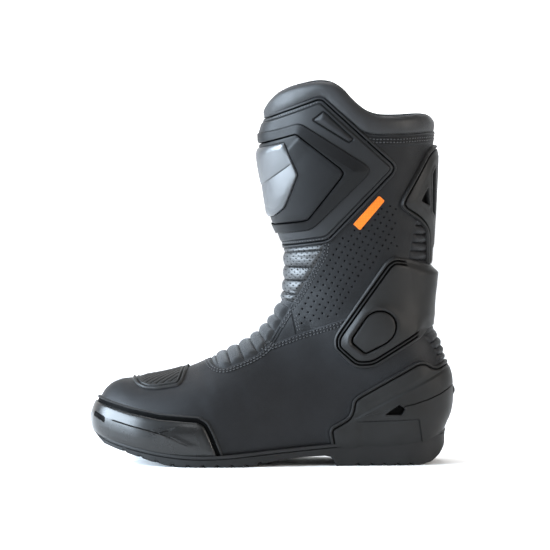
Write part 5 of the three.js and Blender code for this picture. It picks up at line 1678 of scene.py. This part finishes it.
TREAD_TURN = 0.2  # radians


def tread(x, y):
    """How deep the grooves are below the tread at each place."""
    out = np.zeros(np.shape(x))
    for x0 in TREAD:
        d, e = (np.abs((x - x1) * math.cos(TREAD_TURN) + y * math.sin(TREAD_TURN)) for x1 in (x0, x0 + 6))
        out = np.maximum(out, np.interp(d, [1.0, 1.5, 1.7], [1.6, 1.5, 0]))
        out = np.maximum(out, np.interp(e, [0.3, 0.5], [0.7, 0]) * (np.abs(y) < 30))
    arch = (x > -97) & (x < -44)
    lane = np.abs(np.mod(x + y * 0.5, 7.0) - 3.5)
    out = np.where(arch & (np.abs(y) < 26), np.interp(lane, [0.5, 1.0], [0.8, 0]), out)
    return out


def sole_bottom(x, y):
    """Height of the sole's underside with its tread."""
    return np.interp(x, SOLE_BOTTOM[:, 0], SOLE_BOTTOM[:, 1]) + tread(x, y)


plan = spline(np.vstack([SOLE_PLAN[-2:], SOLE_PLAN, SOLE_PLAN[:3]]), 12)
near = int(np.argmin(np.linalg.norm(plan[5:40] - SOLE_PLAN[0], axis=1))) + 5
loop = plan[near:]
close = int(np.argmin(np.linalg.norm(loop[200:] - SOLE_PLAN[0], axis=1))) + 200
loop = dense(loop[:close], True, STEP)
tangent = unit(np.roll(loop, -1, 0) - np.roll(loop, 1, 0))
outward = np.stack([tangent[:, 1], -tangent[:, 0]], 1)
outward *= np.sign(np.sum(outward * (loop - [-85, 0]), 1))[:, None]
top = sole_z(loop[:, 0])
low = sole_bottom(loop[:, 0], loop[:, 1])
flat = np.interp(loop[:, 0], SOLE_BOTTOM[:, 0], SOLE_BOTTOM[:, 1])
tall = top - flat
# Side wall from the tread up: how far out and how high, from the bottom (0) or the top edge (1), then how
# far from a worn edge and how much painted shade (in the wall's recessed band and on the inset top under the
# upper).
WALL = [(-6.0, 0, 0.0, 3, 0), (-1.6, 0, 0.0, 3, 0), (-0.7, 0, 0.35, 0.4, 0), (-0.15, 0, 1.0, 0.4, 0),
        (0.0, 0, 1.9, 3, 0), (0.0, 0, 2.6, 3, 0), (0.15, 1, -4.6, 3, 0), (0.2, 1, -3.4, 0.6, 0),
        (-0.35, 1, -3.2, 0.6, 0.8), (-0.35, 1, -2.7, 0.6, 0.8), (0.35, 1, -2.45, 0.5, 0),
        (0.75, 1, -1.7, 0.3, 0), (0.7, 1, -0.7, 0.3, 0), (0.25, 1, -0.1, 0.3, 0), (-0.6, 1, 0.1, 0.8, 0),
        (-2.4, 1, 0.0, 3, 0.6), (-9.0, 1, 0.0, 3, 0.9)]
LIFT = 0.06  # mm between the floor and the sole
rings = []
for out, from_top, dz, _, _ in WALL:
    z = np.where(from_top, top + dz, low + dz * np.minimum(1, tall / 9))
    if from_top and dz < -2:
        z = np.maximum(z, low + 2.7 * np.minimum(1, tall / 9) + (dz + 5) * 0.1)
    rings.append(np.column_stack([loop + outward * out, np.maximum(z, LIFT)]))
k, n_loop = len(rings), len(loop)
xs = np.arange(-231, 57.01, STEP * 0.75)
us = np.linspace(0, 1, 81)
middle = np.interp(loop[:, 0], [-231.5, -200, 57.5], [12, 4, 0])
right, left = loop[loop[:, 1] <= middle], loop[loop[:, 1] >= middle]
right, left = (part[np.argsort(part[:, 0])] for part in (right, left))
y0 = np.interp(xs, right[:, 0], right[:, 1]) + 1.5
y1 = np.interp(xs, left[:, 0], left[:, 1]) - 1.5
gx = np.repeat(xs[:, None], len(us), 1)
gy = y0[:, None] + (y1 - y0)[:, None] * us[None]
gz = sole_bottom(gx, gy) + LIFT
verts = np.vstack([*rings, np.stack([gx, gy, gz], -1).reshape(-1, 3)])
tris = np.vstack([quads(k, n_loop), quads(len(xs), len(us), closed=False) + k * n_loop])
edge = np.concatenate([np.repeat([w[3] for w in WALL], n_loop), np.full(gx.size, 3.0)])
# painted shade: the wall's recesses and the tread's grooves are darkened
painted_shade = np.concatenate([np.repeat([w[4] for w in WALL], n_loop), tread(gx, gy).ravel() / 2.2])
outsole = mesh_object("outsole", verts, tris, RUBBER, 35, {"edge": edge, "painted_shade": painted_shade})
place(outsole, "foot", ("outsole",))

# ---------------------------------------------------------------- footbed
xs = np.arange(-218, 52, 2 * STEP)
hz = sole_z(xs) + 7.1
sides = {s: surface(np.stack([xs, hz + 2], 1), s) for s in (-1, 1)}
pa, pb = (sides[s][0] - sides[s][1] * 5.7 for s in (-1, 1))
us = np.linspace(0, 1, 31)
x, y = (pa[:, k, None] * (1 - us) + pb[:, k, None] * us for k in (0, 1))
side_rise = np.abs(2 * us - 1)[None] ** 4 * 2.4
ends = np.exp(-((xs - 50) / 14) ** 2)[:, None] * 2.4
z = hz[:, None] - 0.8 + side_rise + ends
dots = np.abs(np.sin(x * 0.9)) * np.abs(np.sin(y * 0.9))
z = z - 0.18 * (dots > 0.75)
tris = quads(len(xs), len(us), closed=False)[:, [0, 2, 1]]
ok = sides[-1][2] & sides[1][2]
tris = tris[ok[tris // len(us)].all(1)]
bed = mesh_object("footbed", np.stack([x, y, z], -1).reshape(-1, 3), tris, FOAM, 60)
face_outwards(bed)
place(bed, "foot", ("footbed",))

build_stitches()

# ---------------------------------------------------------------- camera, light and floor
def aim(ob, target):
    """Turns a camera or light towards a point."""
    ob.rotation_euler = (Vector(target) - ob.location).to_track_quat("-Z", "Y").to_euler()


def area(name, where, target, size, power, color, size_y=None):
    """A rectangular light."""
    li = bpy.data.lights.new(name, "AREA")
    li.shape = "RECTANGLE"
    li.size, li.size_y = size, size_y or size
    li.energy = power
    li.color = color
    ob = bpy.data.objects.new(name, li)
    bpy.context.scene.collection.objects.link(ob)
    ob.location = where
    aim(ob, target)


VIEW_W = 0.452  # m across the picture
DISTANCE = 3.6  # m
ELEVATION = math.radians(3.0)
target = Vector((-0.082, 0.0, 0.1537))
cam = bpy.data.cameras.new("camera")
cam.sensor_width = 36
cam.lens = 36 * DISTANCE / VIEW_W
cam.clip_end = 100
camera = bpy.data.objects.new("camera", cam)
bpy.context.scene.collection.objects.link(camera)
camera.location = target + Vector((0, -math.cos(ELEVATION), math.sin(ELEVATION))) * DISTANCE
aim(camera, target)
bpy.context.scene.camera = camera
bpy.context.scene.view_settings.view_transform = "Standard"

world = bpy.data.worlds.new("studio")
bpy.context.scene.world = world
world.use_nodes = True
back = world.node_tree.nodes["Background"]
back.inputs["Color"].default_value = (1, 1, 1, 1)
back.inputs["Strength"].default_value = 0.36

area("key", (-2.1, -0.3, 0.75), (-0.08, 0, 0.17), 1.9, 225, (0.74, 0.87, 1.0), 1.3)
area("front", (-0.5, -2.4, 1.6), (-0.08, 0, 0.12), 1.2, 16, (0.92, 0.96, 1.0))
area("side", (1.7, -0.8, 0.7), (0, 0, 0.12), 0.9, 24, (1.0, 0.94, 0.87))
area("top", (-0.2, 0.3, 2.0), (0, 0, 0.2), 1.4, 33, (1, 1, 1))

ROOM = 6.0  # m: half the floor's width, and the wall's height
WALL_Y = 5.8  # m: the wall stands behind the boot


def sheet(name, corners, paper):
    """One big flat face."""
    me = bpy.data.meshes.new(name)
    me.from_pydata(corners, [], [(0, 1, 2, 3)])
    me.materials.append(paper.mat)
    ob = bpy.data.objects.new(name, me)
    bpy.context.scene.collection.objects.link(ob)
    return ob


def paper_like(name, scale, dark, light, glow):
    """White paper that glows a little."""
    n = Nodes(name)
    n.set(Base_Color=n.ramp(n.noise(scale, 2), (0.3, (dark,) * 3), (0.7, (light,) * 3)), Roughness=0.9,
          Emission_Color=(1, 1, 1, 1), Emission_Strength=glow(n))
    return n


def floor_glow(n):
    """The floor glows more the further it is from the boot."""
    reach = n.add("ShaderNodeVectorMath")
    reach.operation = "LENGTH"
    n.link(n.coord, "Object", reach, "Vector")
    return n.remap((reach, "Value"), 1.2, 3.5, 0.0, 0.22)


k = ROOM
floor = sheet("floor", [(-k, -k, 0), (k, -k, 0), (k, k, 0), (-k, k, 0)],
              paper_like("floor_paper", 3, 0.93, 0.96, floor_glow))
wall = sheet("backdrop", [(-k, WALL_Y, 0), (k, WALL_Y, 0), (k, WALL_Y, k), (-k, WALL_Y, k)],
             paper_like("backdrop_paper", 2, 0.9, 0.93, lambda n: 0.75))
